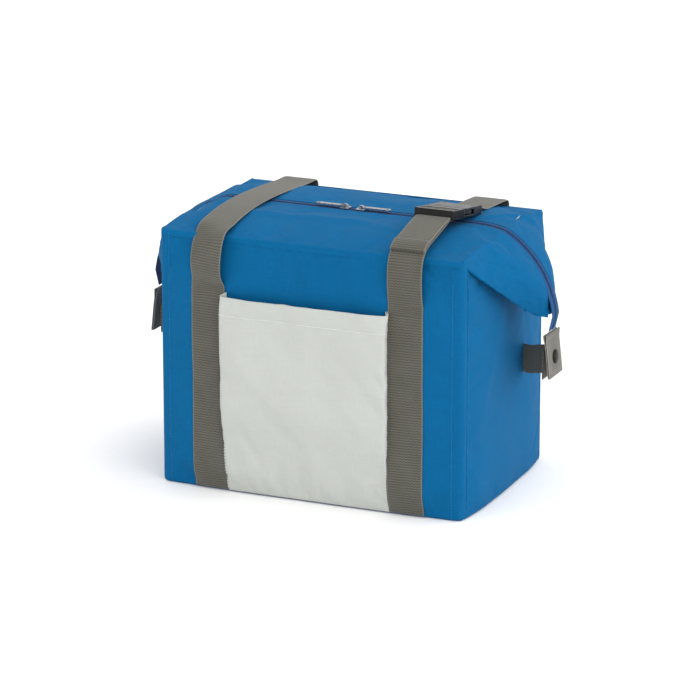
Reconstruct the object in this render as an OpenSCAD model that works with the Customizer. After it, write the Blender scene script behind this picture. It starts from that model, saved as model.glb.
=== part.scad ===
// Soft insulated cooler bag: a padded box body, a zipped mouth whose ends fold down as ears,
// an open front pocket and two webbing carry straps, one of them with a side-release buckle.
// The origin is the centre of the base's underside: +X to the right, -Y to the front, +Z up.
// All lengths are in millimetres.

/* [Body] */
// Width of the body, left to right
body_w = 340; // [320:5:380]
// Depth of the body, front to back
body_d = 230; // [220:5:260]
// Height of the body at its top edges
body_h = 275; // [255:5:300]
// Thickness of the outer fabric with its backing
cover_t = 1.5; // [1:0.1:2]
// Thickness of the foam insulation
foam_t = 6; // [4:0.5:7]
// Thickness of the waterproof lining
liner_t = 0.8; // [0.5:0.1:1]

/* [Mouth] */
// Rise of each flap from the top edge to the zip
crown_rise = 9; // [6:0.5:10]
// Distance from the body's side to each flap's end
flap_inset = 8.8; // [8.8:0.1:12]
// Width of one zip tape
tape_w = 15; // [12:0.5:16]
// Diameter of the zip's coil
coil_d = 2.4; // [2:0.1:3]
// Distance from the zip's middle to each slider
slider_x = 9; // [8:0.5:40]
// Length of a zip pull
pull_len = 33; // [20:1:36]

/* [Ears] */
// Length of an ear down its slope
ear_len = 88; // [84:1:98]
// Angle between an ear's inner face and the side wall
ear_lean = 25; // [23:1:29]
// Length of the webbing tab under an ear
tab_len = 46; // [40:1:60]
// Angle that a tab leans out from upright
tab_lean = 6; // [4:1:7]
// Diameter of a snap's cap
snap_d = 15; // [12:0.5:17]

/* [Straps] */
// Width of the webbing
strap_w = 38; // [30:1:40]
// Thickness of the webbing
strap_t = 1.6; // [1.2:0.1:2]
// Distance from the middle of the bag to the middle of each strap
strap_x = 110; // [105:1:115]
// Height up to which the straps are sewn to the body
sewn_h = 216; // [200:1:225]
// Rise of the left strap over the top, from the edges to the middle
strap_rise = 11; // [11:0.2:14]
// Distance the straps' loose ends stand off the front wall
strap_bow = 8; // [0:0.5:9]

/* [Pocket] */
// Width of the front pocket
pocket_w = 181; // [170:1:181]
// Height of the front pocket's mouth
pocket_h = 215; // [190:1:220]
// Distance the pocket stands off the front wall
pocket_depth = 15; // [12:1:18]

/* [Buckle] */
// Width of the buckle
buckle_w = 43; // [42:0.5:45]
// Thickness of the buckle
buckle_t = 9.5; // [9:0.5:11]
// Upward tilt of the buckle's front end
buckle_tilt = 9; // [8:1:10]

/* [Hidden] */
$fn = 48;

left = -1;
right = 1;
front = -1;
rear = 1;

cover_colour = "#1272ad";
pocket_colour = "#d2d5d0";
webbing_colour = "#68665a";
lining_colour = "#c9ccd0";
foam_colour = "#f2f2ee";
tape_colour = "#154f96";
metal_colour = "#55565a";
buckle_colour = "#17181a";
snap_colour = "#2a2622";

// The body
half_w = body_w / 2;
half_d = body_d / 2;
wall_t = cover_t + foam_t + liner_t;
inner_x = half_w - wall_t;
inner_y = half_d - wall_t;
floor_z = cover_t + foam_t;
foam_x = half_w - cover_t;
foam_y = half_d - cover_t;

// The flaps: each one is hinged at the inner rim and ends beside the zip
hinge_gap = 0.5;
flap_hinge_y = inner_y;
flap_foot_y = flap_hinge_y - hinge_gap;
flap_tip_y = 9;
foam_setback = 13;
flap_len = body_w - 2 * flap_inset;

// The zip: the coil lies on the tape's inner edge
zip_z = body_h + crown_rise;
tape_t = 0.8;
coil_y = 1;
coil_r = coil_d / 2;
rear_tape_y = 5.9;

// The sliders
slider_len = 10;
slider_end = slider_len / 2;
slider_w = 9.2;
plate_t = 1.2;
play = 0.3;
plate_z = zip_z + tape_t / 2 + coil_r + play;
under_plate_z = plate_z - 2 * (coil_r + play) - plate_t;
neck_t = 1;
lug_r = 3.6;
lug_hole_r = 2.2;
lug_t = 2.4;
pull_bar_r = 0.8;
pull_bar_z = plate_z + plate_t + pull_bar_r + 0.35;
pull_w = 5.6;
grip_w = 6.4;

// The ears: the ridge over the zip is an arc, seen from the front
ear_t = 4;
ear_hinge_gap = 3;
ear_tip_w = 14;
ridge_w = 24;
ridge_r = 110;
ridge_centre = [half_w - 53, body_h - 91];
ridge_start = 59;
ridge_end = 7;
ear_zip_end = [half_w + 52.3, body_h - 94];
ear_root = [half_w + 8, body_h - 12];

// The tabs and their snaps
tab_t = 3.4;
tab_hinge = [half_w + 51.5, 0, body_h - 96.5];
snap_drop = 26.4;
cap_h = 2.4;
cap_r = snap_d / 2;
cap_outline = [[0, 0], [cap_r, 0], [cap_r, 0.7], [cap_r - 1.1, 1.7], [4, cap_h], [0, cap_h]];
shank_r = 2.5;
socket_r = 6;
socket_t = 2.1;
socket_bore_r = 3.5;
stud_r = 2.5;
stud_flange_r = 5.5;
stud_flange_t = 1;
snap_x = tab_hinge[0] + snap_drop * sin(tab_lean);
snap_z = tab_hinge[2] - snap_drop * cos(tab_lean);
snap_strap_h = 34;
snap_strap_low = 7;
snap_plate_x = snap_x - 6.7;
stud_tip_x = snap_x - 2.5;

// The straps
strap_y = half_d + strap_t / 2;
corner_r = 6;
strap_edge_y = strap_y - corner_r;
strap_edge_z = body_h + corner_r;
strap_slant = 0.55;

// The buckle, drawn in its own frame: +Y to its female end, +Z up, 0 at its underside
buckle_z = body_h + 16.3;
buckle_side = buckle_w / 2;
slot_w = strap_w + 0.8;

// Its male half: a slot in front of the webbing bar and one behind it, then the prong
male_end = -50;
male_base = -18;
male_slots = [-44, -29.5];
male_bar = [-40, -34];
male_bar_z = [2, 6.2];
male_mouth_z = 2.6;
prong_w = 8;
prong_end = 14;
prong_z = [2.8, 6.7];
rib_pitch = 3;
rib_y = [-46, -22];
rib_size = [1.4, 1.3, buckle_t - 1.6];

// Its arms, which pivot at the mouth and widen to a thumb pad
mouth_y = -16;
arm_x = 16;
arm_t = 2.8;
arm_z = [2.7, 6.8];
arm_end = 6;
pad_outline = [[arm_x, mouth_y + 5], [20.6, mouth_y + 10], [20.8, 2], [17, arm_end], [arm_x, arm_end]];

// Its female half: a socket with a window at each side, and a slot for the webbing
female_end = 30;
shell_t = 2.1;
window_end = 8;
socket_w = 36.8;
socket_end = 18;
female_slot = [20.5, 25];
female_bar_z = [1.2, 6.8];

// The pocket's face, as (y, z) points
pocket_t = 1.2;
pocket_foot = 2;
pocket_flare_h = 62;
pocket_heights = concat([pocket_foot, 12, 22, 32, 42, 52], [pocket_flare_h, pocket_h]);
pocket_path = [for (z = pocket_heights) [-half_d - pocket_stand(z), z]];

// The ridge of an ear, as (x, z) points down its arc
ridge_step = (ridge_start - ridge_end) / 8;
ridge_path = [for (a = [ridge_start:-ridge_step:ridge_end]) on_circle(ridge_centre, ridge_r, a)];

// The strap that holds a snap's stud, as (x, y) points from the wall to the back of the tab
snap_path = [
    [half_w + 1, 64],
    [half_w + 1, 42],
    [half_w + 3.5, 36.5],
    [snap_plate_x - 11.7, 15],
    [snap_plate_x - 4.2, 11],
    [snap_plate_x - 0.5, 8.5],
    [snap_plate_x, 6],
    [snap_plate_x, -14]
];

// The left strap, as (y, z) points: it bows off the front wall, crosses the top and hugs the rear edge
front_bow_path = [
    [-strap_y, sewn_h],
    [-strap_y - 0.75 * strap_bow, body_h - 44],
    [-strap_y - strap_bow, body_h - 28],
    [-strap_y - 0.8 * strap_bow, body_h - 12],
    [-strap_y - 0.3 * strap_bow, body_h - 1],
    [-strap_edge_y - 2.5, body_h + 3]
];
rear_edge_path = concat(
    [for (a = [75:-15:0]) on_circle([strap_edge_y, body_h], corner_r, a)],
    [[strap_y, sewn_h]]
);
left_loop_path = concat(
    front_bow_path,
    [for (y = [-96:16:96]) [y, strap_top(y)]],
    rear_edge_path
);

// The right strap's front webbing: up to the male buckle, over its bar, and back out under its front
front_climb_path = [
    [-strap_y, sewn_h],
    [-strap_y - 0.75 * strap_bow, body_h - 44],
    [-strap_y - strap_bow, body_h - 24],
    [-strap_y - 0.9 * strap_bow, body_h - 8],
    [-strap_y - 0.35 * strap_bow, body_h + 3],
    [-half_d + 2, body_h + 8.6],
    [-half_d + 9, body_h + 11.4],
    [-half_d + 25, body_h + 15],
    [-half_d + 45, body_h + 19.4],
    from_buckle([-52, -1.1])
];
bar_wrap_path = [
    for (p = [
        [-44, -1.1], [-36, -1.1], [-33, 0.2], [-32, 4], [-32.8, 7],
        [-35, 8.2], [-39, 8.2], [-41.3, 6.8], [-42, 4], [-42.6, 2], [-45, 1.1]
    ]) from_buckle(p)
];
front_loop_path = concat(front_climb_path, bar_wrap_path);
tail_gap = 0.5;
tail_path = concat(
    [from_buckle([-45.5, 1.1]), from_buckle([-52, 1.1])],
    reversed(shifted([for (i = [4:8]) front_climb_path[i]], strap_t + tail_gap))
);

// The right strap's rear webbing: round the female buckle's bar, then over the rear top edge
bar_return_path = [
    for (p = [
        [52, 0.4], [32, -0.4], [26, -0.6], [23.3, 1], [22.7, 4],
        [23.3, 7], [26, 8.5], [32, 7.6], [52, 2.5]
    ]) from_buckle(p)
];
rear_loop_path = concat(
    bar_return_path,
    [[half_d - 35, body_h + 8.4], [half_d - 15, body_h + 6.9]],
    rear_edge_path
);

// Direction of a line from one point to another
function unit(v) = v / norm(v);
// Direction turned a quarter turn to the left
function turned(v) = [-v[1], v[0]];
// Direction of a path at its point i
function tangent(path, i) = unit(path[min(i + 1, len(path) - 1)] - path[max(i - 1, 0)]);
// Path moved sideways by a distance
function shifted(path, by) = [for (i = [0:len(path) - 1]) path[i] + by * turned(tangent(path, i))];
// Points in reverse order
function reversed(path) = [for (i = [len(path) - 1:-1:0]) path[i]];
// Outline of a strip of even thickness along a path
function strip(path, thickness) =
    concat(shifted(path, thickness / 2), reversed(shifted(path, -thickness / 2)));
// Point on a circle
function on_circle(centre, radius, angle) = centre + radius * [cos(angle), sin(angle)];
// Height of a flap's top at a distance from the middle
function flap_top(y) =
    body_h + crown_rise * (flap_foot_y - y) / (flap_foot_y - flap_tip_y);
// Height of the left strap over the top: an arch that is fuller towards the front
function strap_top(y) =
    strap_edge_z + strap_rise * (1 - pow(y / strap_edge_y, 2)) * (1 - strap_slant * y / strap_edge_y);
// Point of the buckle's frame, in the bag's frame, both as [y, z]
function from_buckle(p) = [
    p[0] * cos(buckle_tilt) + p[1] * sin(buckle_tilt),
    buckle_z - p[0] * sin(buckle_tilt) + p[1] * cos(buckle_tilt)
];
// Distance of the pocket's face from the front wall at a height
function pocket_stand(z) = cover_t + (pocket_depth - cover_t) * sin(90 * min(1, z / pocket_flare_h));

// A box between two corners
module slab(low, high) {
    translate(low)
        cube(high - low);
}

// A (y, z) outline drawn out evenly to both sides along X
module along_x(length) {
    rotate([90, 0, 90])
        linear_extrude(length, center = true)
            children();
}

// An (x, z) outline drawn out evenly to both sides along Y
module along_y(length) {
    rotate([90, 0, 0])
        linear_extrude(length, center = true)
            children();
}

// A shape drawn for the right side, put on either side
module on_side(side) {
    mirror([side == left ? 1 : 0, 0, 0])
        children();
}

// A shape drawn for the front, put at either face
module on_face(face) {
    mirror([0, face == rear ? 1 : 0, 0])
        children();
}

// The body's outer fabric
module base_panel() {
    color(cover_colour)
        slab([-half_w, -half_d, 0], [half_w, half_d, cover_t]);
}

module long_panel(face) {
    color(cover_colour)
        on_face(face)
            slab([-half_w, -half_d, cover_t], [half_w, -half_d + cover_t, body_h]);
}

module end_panel(side) {
    color(cover_colour)
        on_side(side)
            slab([half_w - cover_t, -half_d + cover_t, cover_t], [half_w, half_d - cover_t, body_h]);
}

// The insulation inside it
module base_foam() {
    color(foam_colour)
        slab([-foam_x, -foam_y, cover_t], [foam_x, foam_y, floor_z]);
}

module long_foam(face) {
    color(foam_colour)
        on_face(face)
            slab([-foam_x, -foam_y, floor_z], [foam_x, foam_t - foam_y, body_h]);
}

module end_foam(side) {
    color(foam_colour)
        on_side(side)
            slab([foam_x - foam_t, foam_t - foam_y, floor_z], [foam_x, foam_y - foam_t, body_h]);
}

// The waterproof lining, an open tub
module liner() {
    color(lining_colour)
        difference() {
            slab([foam_t - foam_x, foam_t - foam_y, floor_z], [foam_x - foam_t, foam_y - foam_t, body_h]);
            slab([-inner_x, -inner_y, wall_t], [inner_x, inner_y, body_h + 1]);
        }
}

// The open pocket: a face that curves in to the base, with a gusset at each side
module pocket_gusset_outline() {
    polygon(concat(shifted(pocket_path, pocket_t / 4), [[-half_d, pocket_h], [-half_d, pocket_foot]]));
}

module front_pocket() {
    color(pocket_colour) {
        along_x(pocket_w)
            polygon(strip(pocket_path, pocket_t));
        for (side = [left, right])
            translate([side * (pocket_w - pocket_t) / 2, 0, 0])
                along_x(pocket_t)
                    pocket_gusset_outline();
    }
}

// One layer of a flap, between two depths under its top face
module flap_layer(face, foot_y, upper, lower) {
    on_face(face)
        along_x(flap_len)
            polygon([
                [-foot_y, flap_top(foot_y) - upper],
                [-flap_tip_y, zip_z - upper],
                [-flap_tip_y, zip_z - lower],
                [-foot_y, flap_top(foot_y) - lower]
            ]);
}

module flap_cover(face) {
    color(cover_colour)
        flap_layer(face, flap_foot_y, 0, cover_t);
}

module flap_foam(face) {
    color(foam_colour)
        flap_layer(face, flap_foot_y - foam_setback, cover_t, cover_t + foam_t);
}

module flap_liner(face) {
    color(lining_colour)
        flap_layer(face, flap_foot_y - foam_setback, cover_t + foam_t, wall_t);
}

// A zip tape, sewn to a flap's cover along its outer edge
module zip_tape(face, inner_y) {
    on_face(face)
        along_x(flap_len)
            polygon([
                [-inner_y, zip_z],
                [-inner_y, zip_z + tape_t],
                [-flap_tip_y, zip_z + tape_t],
                [-tape_w, flap_top(tape_w) + tape_t],
                [-tape_w, flap_top(tape_w)],
                [-flap_tip_y, zip_z]
            ]);
}

// The front tape carries the coil that the sliders run on
module front_zip_tape() {
    color(tape_colour) {
        zip_tape(front, coil_y);
        translate([0, -coil_y - coil_r, zip_z + tape_t / 2])
            rotate([0, 90, 0])
                cylinder(r = coil_r, h = flap_len, center = true);
    }
}

module rear_zip_tape() {
    color(tape_colour)
        zip_tape(rear, rear_tape_y);
}

// A slider: two plates joined by a neck between the tapes, with a lug for the pull
module slider_plate(z) {
    slab([-slider_end, -slider_w / 2, z], [slider_end, slider_w / 2, z + plate_t]);
}

module slider_neck() {
    slab([-slider_end, -neck_t / 2, under_plate_z + plate_t], [-slider_end / 2, neck_t / 2, plate_z]);
}

module slider_lug() {
    along_y(lug_t)
        difference() {
            intersection() {
                circle(r = lug_r);
                translate([-lug_r, -0.1])
                    square([2 * lug_r, lug_r]);
            }
            circle(r = lug_hole_r);
        }
}

module zip_slider(side) {
    color(metal_colour)
        on_side(side)
            translate([slider_x, 0, 0]) {
                slider_plate(plate_z);
                slider_plate(under_plate_z);
                slider_neck();
                translate([0, 0, plate_z + plate_t])
                    slider_lug();
            }
}

// A pull: a bar under the lug, two cheeks beside it, and a flat grip
module zip_pull(side) {
    cheek_t = 1.1;
    cheek_len = 6;
    color(metal_colour)
        on_side(side)
            translate([slider_x, 0, pull_bar_z]) {
                rotate([90, 0, 0])
                    cylinder(r = pull_bar_r, h = pull_w, center = true);
                for (s = [left, right])
                    translate([0, s * (pull_w - cheek_t) / 2, 0])
                        slab([0, -cheek_t / 2, -pull_bar_r], [cheek_len, cheek_t / 2, pull_bar_r]);
                difference() {
                    union() {
                        slab(
                            [cheek_len - 1, -pull_w / 2, -pull_bar_r],
                            [pull_len - grip_w / 2, pull_w / 2, pull_bar_r]
                        );
                        translate([pull_len - grip_w / 2, 0, -pull_bar_r])
                            cylinder(d = grip_w, h = 2 * pull_bar_r);
                    }
                    translate([pull_len - grip_w / 2, 0, -2 * pull_bar_r])
                        cylinder(d = grip_w / 2.4, h = 4 * pull_bar_r);
                }
            }
}

// The inner layer of an ear, lying down its slope
module ear_leaf() {
    translate([half_w + ear_hinge_gap / 2, 0, body_h - ear_hinge_gap])
        rotate([0, 90 - ear_lean, 0])
            linear_extrude(ear_t)
                polygon([
                    [ear_hinge_gap, -half_d + ear_hinge_gap],
                    [ear_hinge_gap, half_d - ear_hinge_gap],
                    [ear_len, ear_tip_w / 2],
                    [ear_len, -ear_tip_w / 2]
                ]);
}

module ear(side) {
    color(cover_colour)
        on_side(side)
            hull() {
                ear_leaf();
                along_y(ridge_w)
                    polygon(concat(ridge_path, [ear_root]));
            }
}

// The zip over an ear's ridge, which runs on into the tab
module ear_zip(side) {
    zip_path = concat(shifted(ridge_path, tape_t / 2 + 0.2), [ear_zip_end]);
    color(tape_colour)
        on_side(side) {
            along_y(ridge_w)
                polygon(strip(zip_path, tape_t));
            along_y(2 * coil_d)
                polygon(strip(shifted(zip_path, coil_r / 2), coil_r));
        }
}

// A place on a tab, measured down its slope from its hinge
module on_tab(drop) {
    translate(tab_hinge)
        rotate([0, -tab_lean, 0])
            translate([0, 0, -drop])
                children();
}

module tab(side) {
    color(webbing_colour)
        on_side(side)
            difference() {
                on_tab(0)
                    slab([-tab_t / 2, -strap_w / 2, -tab_len], [tab_t / 2, strap_w / 2, 0]);
                on_tab(snap_drop)
                    rotate([0, 90, 0])
                        cylinder(r = shank_r + 0.05, h = 3 * tab_t, center = true);
            }
}

// The snap's cap outside the tab, its socket inside the tab and its stud on the snap strap
module snap_cap(side) {
    color(snap_colour)
        on_side(side)
            on_tab(snap_drop)
                rotate([0, 90, 0]) {
                    translate([0, 0, tab_t / 2])
                        rotate_extrude()
                            polygon(cap_outline);
                    translate([0, 0, -tab_t / 2])
                        cylinder(r = shank_r, h = tab_t);
                }
}

module snap_socket(side) {
    color(snap_colour)
        on_side(side)
            on_tab(snap_drop)
                rotate([0, -90, 0])
                    translate([0, 0, tab_t / 2])
                        difference() {
                            cylinder(r = socket_r, h = socket_t);
                            translate([0, 0, 0.4])
                                cylinder(r = socket_bore_r, h = socket_t);
                        }
}

module snap_stud(side) {
    flange_x = snap_plate_x + strap_t / 2;
    back_x = snap_plate_x - strap_t / 2;
    color(snap_colour)
        on_side(side)
            translate([0, 0, snap_z])
                rotate([0, 90, 0]) {
                    translate([0, 0, flange_x])
                        cylinder(r = stud_flange_r, h = stud_flange_t);
                    translate([0, 0, back_x - stud_flange_t])
                        cylinder(r = stud_flange_r, h = stud_flange_t);
                    translate([0, 0, back_x])
                        cylinder(r = stud_r, h = stud_tip_x - back_x);
                }
}

// The strap that holds the stud: sewn to the side wall, then out to the back of the tab
module snap_strap(side) {
    color(webbing_colour)
        on_side(side)
            difference() {
                translate([0, 0, snap_z - snap_strap_h / 2 - snap_strap_low])
                    linear_extrude(snap_strap_h)
                        polygon(strip(snap_path, strap_t));
                translate([snap_plate_x, 0, snap_z])
                    rotate([0, 90, 0])
                        cylinder(r = stud_r + 0.05, h = 4 * strap_t, center = true);
            }
}

// A strap's sewn run up one face of the body
module strap_run(side, face) {
    color(webbing_colour)
        translate([side * strap_x, 0, 0])
            on_face(face)
                slab([-strap_w / 2, -half_d - strap_t, cover_t], [strap_w / 2, -half_d, sewn_h]);
}

// Webbing that follows a (y, z) path over the top of the bag
module strap_over(side, path) {
    color(webbing_colour)
        translate([side * strap_x, 0, 0])
            along_x(strap_w)
                polygon(strip(path, strap_t));
}

// The loose end of the right strap, folded over and sewn as a hem
module right_strap_tail() {
    hem_path = [tail_path[len(tail_path) - 2], tail_path[len(tail_path) - 1]];
    strap_over(right, tail_path);
    strap_over(right, shifted(hem_path, -strap_t));
}

// A place on the right strap, tilted with the buckle
module on_buckle() {
    translate([strap_x, 0, buckle_z])
        rotate([-buckle_tilt, 0, 0])
            children();
}

// The male half: a ladder frame for the webbing, with a guide prong behind it
module buckle_male() {
    color(buckle_colour)
        on_buckle() {
            difference() {
                slab([-buckle_side, male_end, 0], [buckle_side, male_base, buckle_t]);
                slab([-slot_w / 2, male_slots[0], -1], [slot_w / 2, male_slots[1], buckle_t + 1]);
                slab([-slot_w / 2, male_end - 1, -1], [slot_w / 2, male_slots[0] + 1, male_mouth_z]);
                slab([-slot_w / 2, male_slots[1] - 0.5, -1], [slot_w / 2, male_slots[1] + 5.5, 1]);
                for (s = [left, right])
                    translate([s * arm_x, mouth_y, arm_z[0] - 0.4])
                        cylinder(r = arm_t / 2 + 0.5, h = arm_z[1] - arm_z[0] + 0.8);
            }
            slab([-buckle_side, male_bar[0], male_bar_z[0]], [buckle_side, male_bar[1], male_bar_z[1]]);
            slab([-prong_w / 2, male_base - 1, prong_z[0]], [prong_w / 2, prong_end, prong_z[1]]);
            grip_ribs();
        }
}

module grip_ribs() {
    for (s = [left, right])
        for (y = [rib_y[0]:rib_pitch:rib_y[1]])
            translate([s * buckle_side, y, buckle_t / 2])
                cube(rib_size, center = true);
}

// An arm of the male half, which bends in when its side is pressed
module buckle_arm(side) {
    color(buckle_colour)
        on_buckle()
            mirror([side == left ? 1 : 0, 0, 0])
                translate([0, 0, arm_z[0]])
                    linear_extrude(arm_z[1] - arm_z[0])
                        union() {
                            translate([arm_x, mouth_y])
                                circle(r = arm_t / 2);
                            translate([arm_x - arm_t / 2, mouth_y])
                                square([arm_t, arm_end - mouth_y]);
                            polygon(pad_outline);
                        }
}

// The female half: a flat socket with a window at each side, and a slot for the webbing
module buckle_female() {
    roof_z = buckle_t - shell_t;
    color(buckle_colour)
        on_buckle()
            difference() {
                slab([-buckle_side, mouth_y, 0], [buckle_side, female_end, buckle_t]);
                slab([-socket_w / 2, mouth_y - 1, shell_t], [socket_w / 2, socket_end, roof_z]);
                for (s = [left, right])
                    translate([s * buckle_side, 0, 0])
                        slab([-4, mouth_y - 1, shell_t], [4, window_end, roof_z]);
                slab([-slot_w / 2, female_slot[0], -1], [slot_w / 2, female_slot[1], buckle_t + 1]);
                slab(
                    [-slot_w / 2, female_slot[1] - 0.1, -1],
                    [slot_w / 2, female_end + 1, female_bar_z[0]]
                );
                slab(
                    [-slot_w / 2, female_slot[1] - 0.1, female_bar_z[1]],
                    [slot_w / 2, female_end + 1, buckle_t + 1]
                );
            }
}

base_panel();
long_panel(front);  // front_panel
long_panel(rear);  // rear_panel
end_panel(left);  // left_panel
end_panel(right);  // right_panel
base_foam();
long_foam(front);  // front_foam
long_foam(rear);  // rear_foam
end_foam(left);  // left_foam
end_foam(right);  // right_foam
liner();
front_pocket();
flap_cover(front);  // front_flap_cover
flap_foam(front);  // front_flap_foam
flap_liner(front);  // front_flap_liner
front_zip_tape();
flap_cover(rear);  // rear_flap_cover
flap_foam(rear);  // rear_flap_foam
flap_liner(rear);  // rear_flap_liner
rear_zip_tape();
zip_slider(left);  // left_zip_slider
zip_slider(right);  // right_zip_slider
zip_pull(left);  // left_zip_pull
zip_pull(right);  // right_zip_pull
ear(left);  // left_ear
ear(right);  // right_ear
ear_zip(left);  // left_ear_zip
ear_zip(right);  // right_ear_zip
tab(left);  // left_tab
tab(right);  // right_tab
snap_cap(left);  // left_snap_cap
snap_cap(right);  // right_snap_cap
snap_socket(left);  // left_snap_socket
snap_socket(right);  // right_snap_socket
snap_stud(left);  // left_snap_stud
snap_stud(right);  // right_snap_stud
snap_strap(left);  // left_snap_strap
snap_strap(right);  // right_snap_strap
strap_run(left, front);  // left_strap_front
strap_over(left, left_loop_path);  // left_strap_loop
strap_run(left, rear);  // left_strap_rear
strap_run(right, front);  // right_strap_front
strap_over(right, front_loop_path);  // right_strap_front_loop
right_strap_tail();
strap_over(right, rear_loop_path);  // right_strap_rear_loop
strap_run(right, rear);  // right_strap_rear
buckle_male();
buckle_arm(left);  // buckle_left_arm
buckle_arm(right);  // buckle_right_arm
buckle_female();
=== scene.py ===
"""Looks of a soft insulated cooler bag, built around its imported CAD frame: metres, the frame's axes."""
import math

import bmesh
import bpy
import numpy as np
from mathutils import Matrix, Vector
from mathutils.bvhtree import BVHTree


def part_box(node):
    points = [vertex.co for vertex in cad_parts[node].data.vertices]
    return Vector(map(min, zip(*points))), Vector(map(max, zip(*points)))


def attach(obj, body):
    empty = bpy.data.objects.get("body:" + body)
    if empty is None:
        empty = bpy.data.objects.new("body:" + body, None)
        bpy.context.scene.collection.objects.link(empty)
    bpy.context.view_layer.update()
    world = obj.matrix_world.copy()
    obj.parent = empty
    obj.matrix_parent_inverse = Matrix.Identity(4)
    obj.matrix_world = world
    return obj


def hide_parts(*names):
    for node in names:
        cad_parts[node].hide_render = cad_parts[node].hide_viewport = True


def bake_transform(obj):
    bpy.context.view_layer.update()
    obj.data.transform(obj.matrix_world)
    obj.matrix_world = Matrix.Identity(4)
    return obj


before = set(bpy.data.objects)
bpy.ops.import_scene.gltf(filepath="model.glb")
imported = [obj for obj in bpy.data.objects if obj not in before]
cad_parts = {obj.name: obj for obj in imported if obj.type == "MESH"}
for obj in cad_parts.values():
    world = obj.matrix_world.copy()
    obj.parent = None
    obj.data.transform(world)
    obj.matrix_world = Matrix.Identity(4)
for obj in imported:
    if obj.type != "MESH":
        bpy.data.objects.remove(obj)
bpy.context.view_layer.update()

MM = 0.001
FRONT, REAR = -1, 1
SIDES = {"left": -1, "right": 1}

# Sizes that come from the frame
HALF_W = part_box("front_panel")[1].x
HALF_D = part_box("rear_panel")[1].y
TOP_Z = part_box("front_panel")[1].z
WALL_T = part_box("liner")[0].z + 0.8 * MM
FLAP_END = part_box("front_flap_cover")[1].x
ZIP_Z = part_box("front_zip_tape")[1].z - 1.2 * MM
STRAP_X = sum(c.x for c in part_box("right_strap_front")) / 2
STRAP_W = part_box("right_strap_front")[1].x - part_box("right_strap_front")[0].x
STRAP_T = 1.6 * MM
SEWN_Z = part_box("right_strap_front")[1].z

# The tab, from its box: a board that leans out from its hinge
TAB_LEAN = math.radians(6)
TAB_T = 3.4 * MM
TAB_LOW, TAB_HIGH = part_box("right_tab")
TAB_HINGE = (TAB_LOW.x + TAB_T / 2 * math.cos(TAB_LEAN), TAB_HIGH.z - TAB_T / 2 * math.sin(TAB_LEAN))
TAB_DROP = (TAB_HIGH.z - TAB_LOW.z - TAB_T * math.sin(TAB_LEAN)) / math.cos(TAB_LEAN)

# The ear's ridge is an arc in the plane of the zip
RIDGE_R = 110 * MM
RIDGE_CENTRE = (HALF_W - 53 * MM, TOP_Z - 91 * MM)
RIDGE_END = math.radians(7)
TAPE_HALF = 7.5 * MM

WEB_COLUMNS = 17        # points across a strap
SETTLE_FRAMES = 20      # steps of each cloth simulation


# ---------------------------------------------------------------- small maths

def smooth(low, high, x):
    """0 below low, 1 above high, and an even curve between them."""
    t = np.clip((np.asarray(x, float) - low) / (high - low), 0, 1)
    return t * t * (3 - 2 * t)


def unit(v):
    return v / np.maximum(np.linalg.norm(v, axis=-1, keepdims=True), 1e-12)


def ripple(u, v, wavelength, seed):
    """Even, seeded waves between about -1 and 1 over (u, v), in metres."""
    waves = 7
    draw = np.random.default_rng(seed)
    total = np.zeros(np.broadcast(u, v).shape)
    for _ in range(waves):
        angle = draw.uniform(0, math.tau)
        scale = math.tau / (wavelength * draw.uniform(0.6, 1.7))
        phase = draw.uniform(0, math.tau)
        total = total + np.sin((u * math.cos(angle) + v * math.sin(angle)) * scale + phase)
    return total / math.sqrt(waves)


def crease(u, v, start, end, height, width):
    """Height at (u, v) of a soft ridge along a line, or of a groove where height is negative."""
    along = np.array(end, float) - np.array(start, float)
    length = np.linalg.norm(along)
    along = along / length
    t = ((u - start[0]) * along[0] + (v - start[1]) * along[1]) / length
    off = (u - start[0]) * -along[1] + (v - start[1]) * along[0]
    fade = smooth(-0.12, 0.25, t) * smooth(-0.12, 0.25, 1 - t)
    return height * np.exp(-((off / width) ** 2)) * fade


def grid_normals(p):
    """Normals of a grid of points, from its own rows and columns."""
    return unit(np.cross(np.gradient(p, axis=0), np.gradient(p, axis=1)))


def ring_normals(p):
    """The same for a grid whose rows close into a ring."""
    return unit(np.cross(np.roll(p, -1, 0) - np.roll(p, 1, 0), np.gradient(p, axis=1)))


def run_along(path):
    """The distance along a path at each of its points."""
    return np.concatenate([[0], np.cumsum(np.linalg.norm(np.diff(path, axis=0), axis=1))])


def values_at(at, run, values):
    """Rows of values, given at the distances in run, read off at the distances in at."""
    return np.stack([np.interp(at, run, column) for column in values.T], -1)


def resample(path, count):
    """Points evenly spaced along a path."""
    path = np.asarray(path, float)
    run = run_along(path)
    return values_at(np.linspace(0, run[-1], count), run, path)


def rounded(path, radius, steps=5):
    """A path whose inner corners are turned into arcs of about that radius."""
    path = [np.asarray(p, float) for p in path]
    made = [path[0]]
    for before, at, after in zip(path, path[1:], path[2:]):
        reach = min(radius, np.linalg.norm(at - before) / 2.1, np.linalg.norm(after - at) / 2.1)
        a = at + unit(before - at) * reach
        b = at + unit(after - at) * reach
        for t in np.linspace(0, 1, steps):
            made.append((1 - t) ** 2 * a + 2 * t * (1 - t) * at + t * t * b)
    made.append(path[-1])
    return np.array(made)


# ---------------------------------------------------------------- meshes

def give(piece, body):
    """Puts the piece on the body it moves with."""
    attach(piece, body)


def new_object(name, verts, faces, material, weave=None):
    mesh = bpy.data.meshes.new(name)
    mesh.from_pydata([tuple(v) for v in np.asarray(verts).tolist()], [], faces)
    mesh.validate()
    mesh.polygons.foreach_set("use_smooth", [True] * len(mesh.polygons))
    if weave is not None:
        put_weave(mesh, weave)
    mesh.materials.append(material)
    obj = bpy.data.objects.new(name, mesh)
    bpy.context.scene.collection.objects.link(obj)
    return obj


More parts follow.
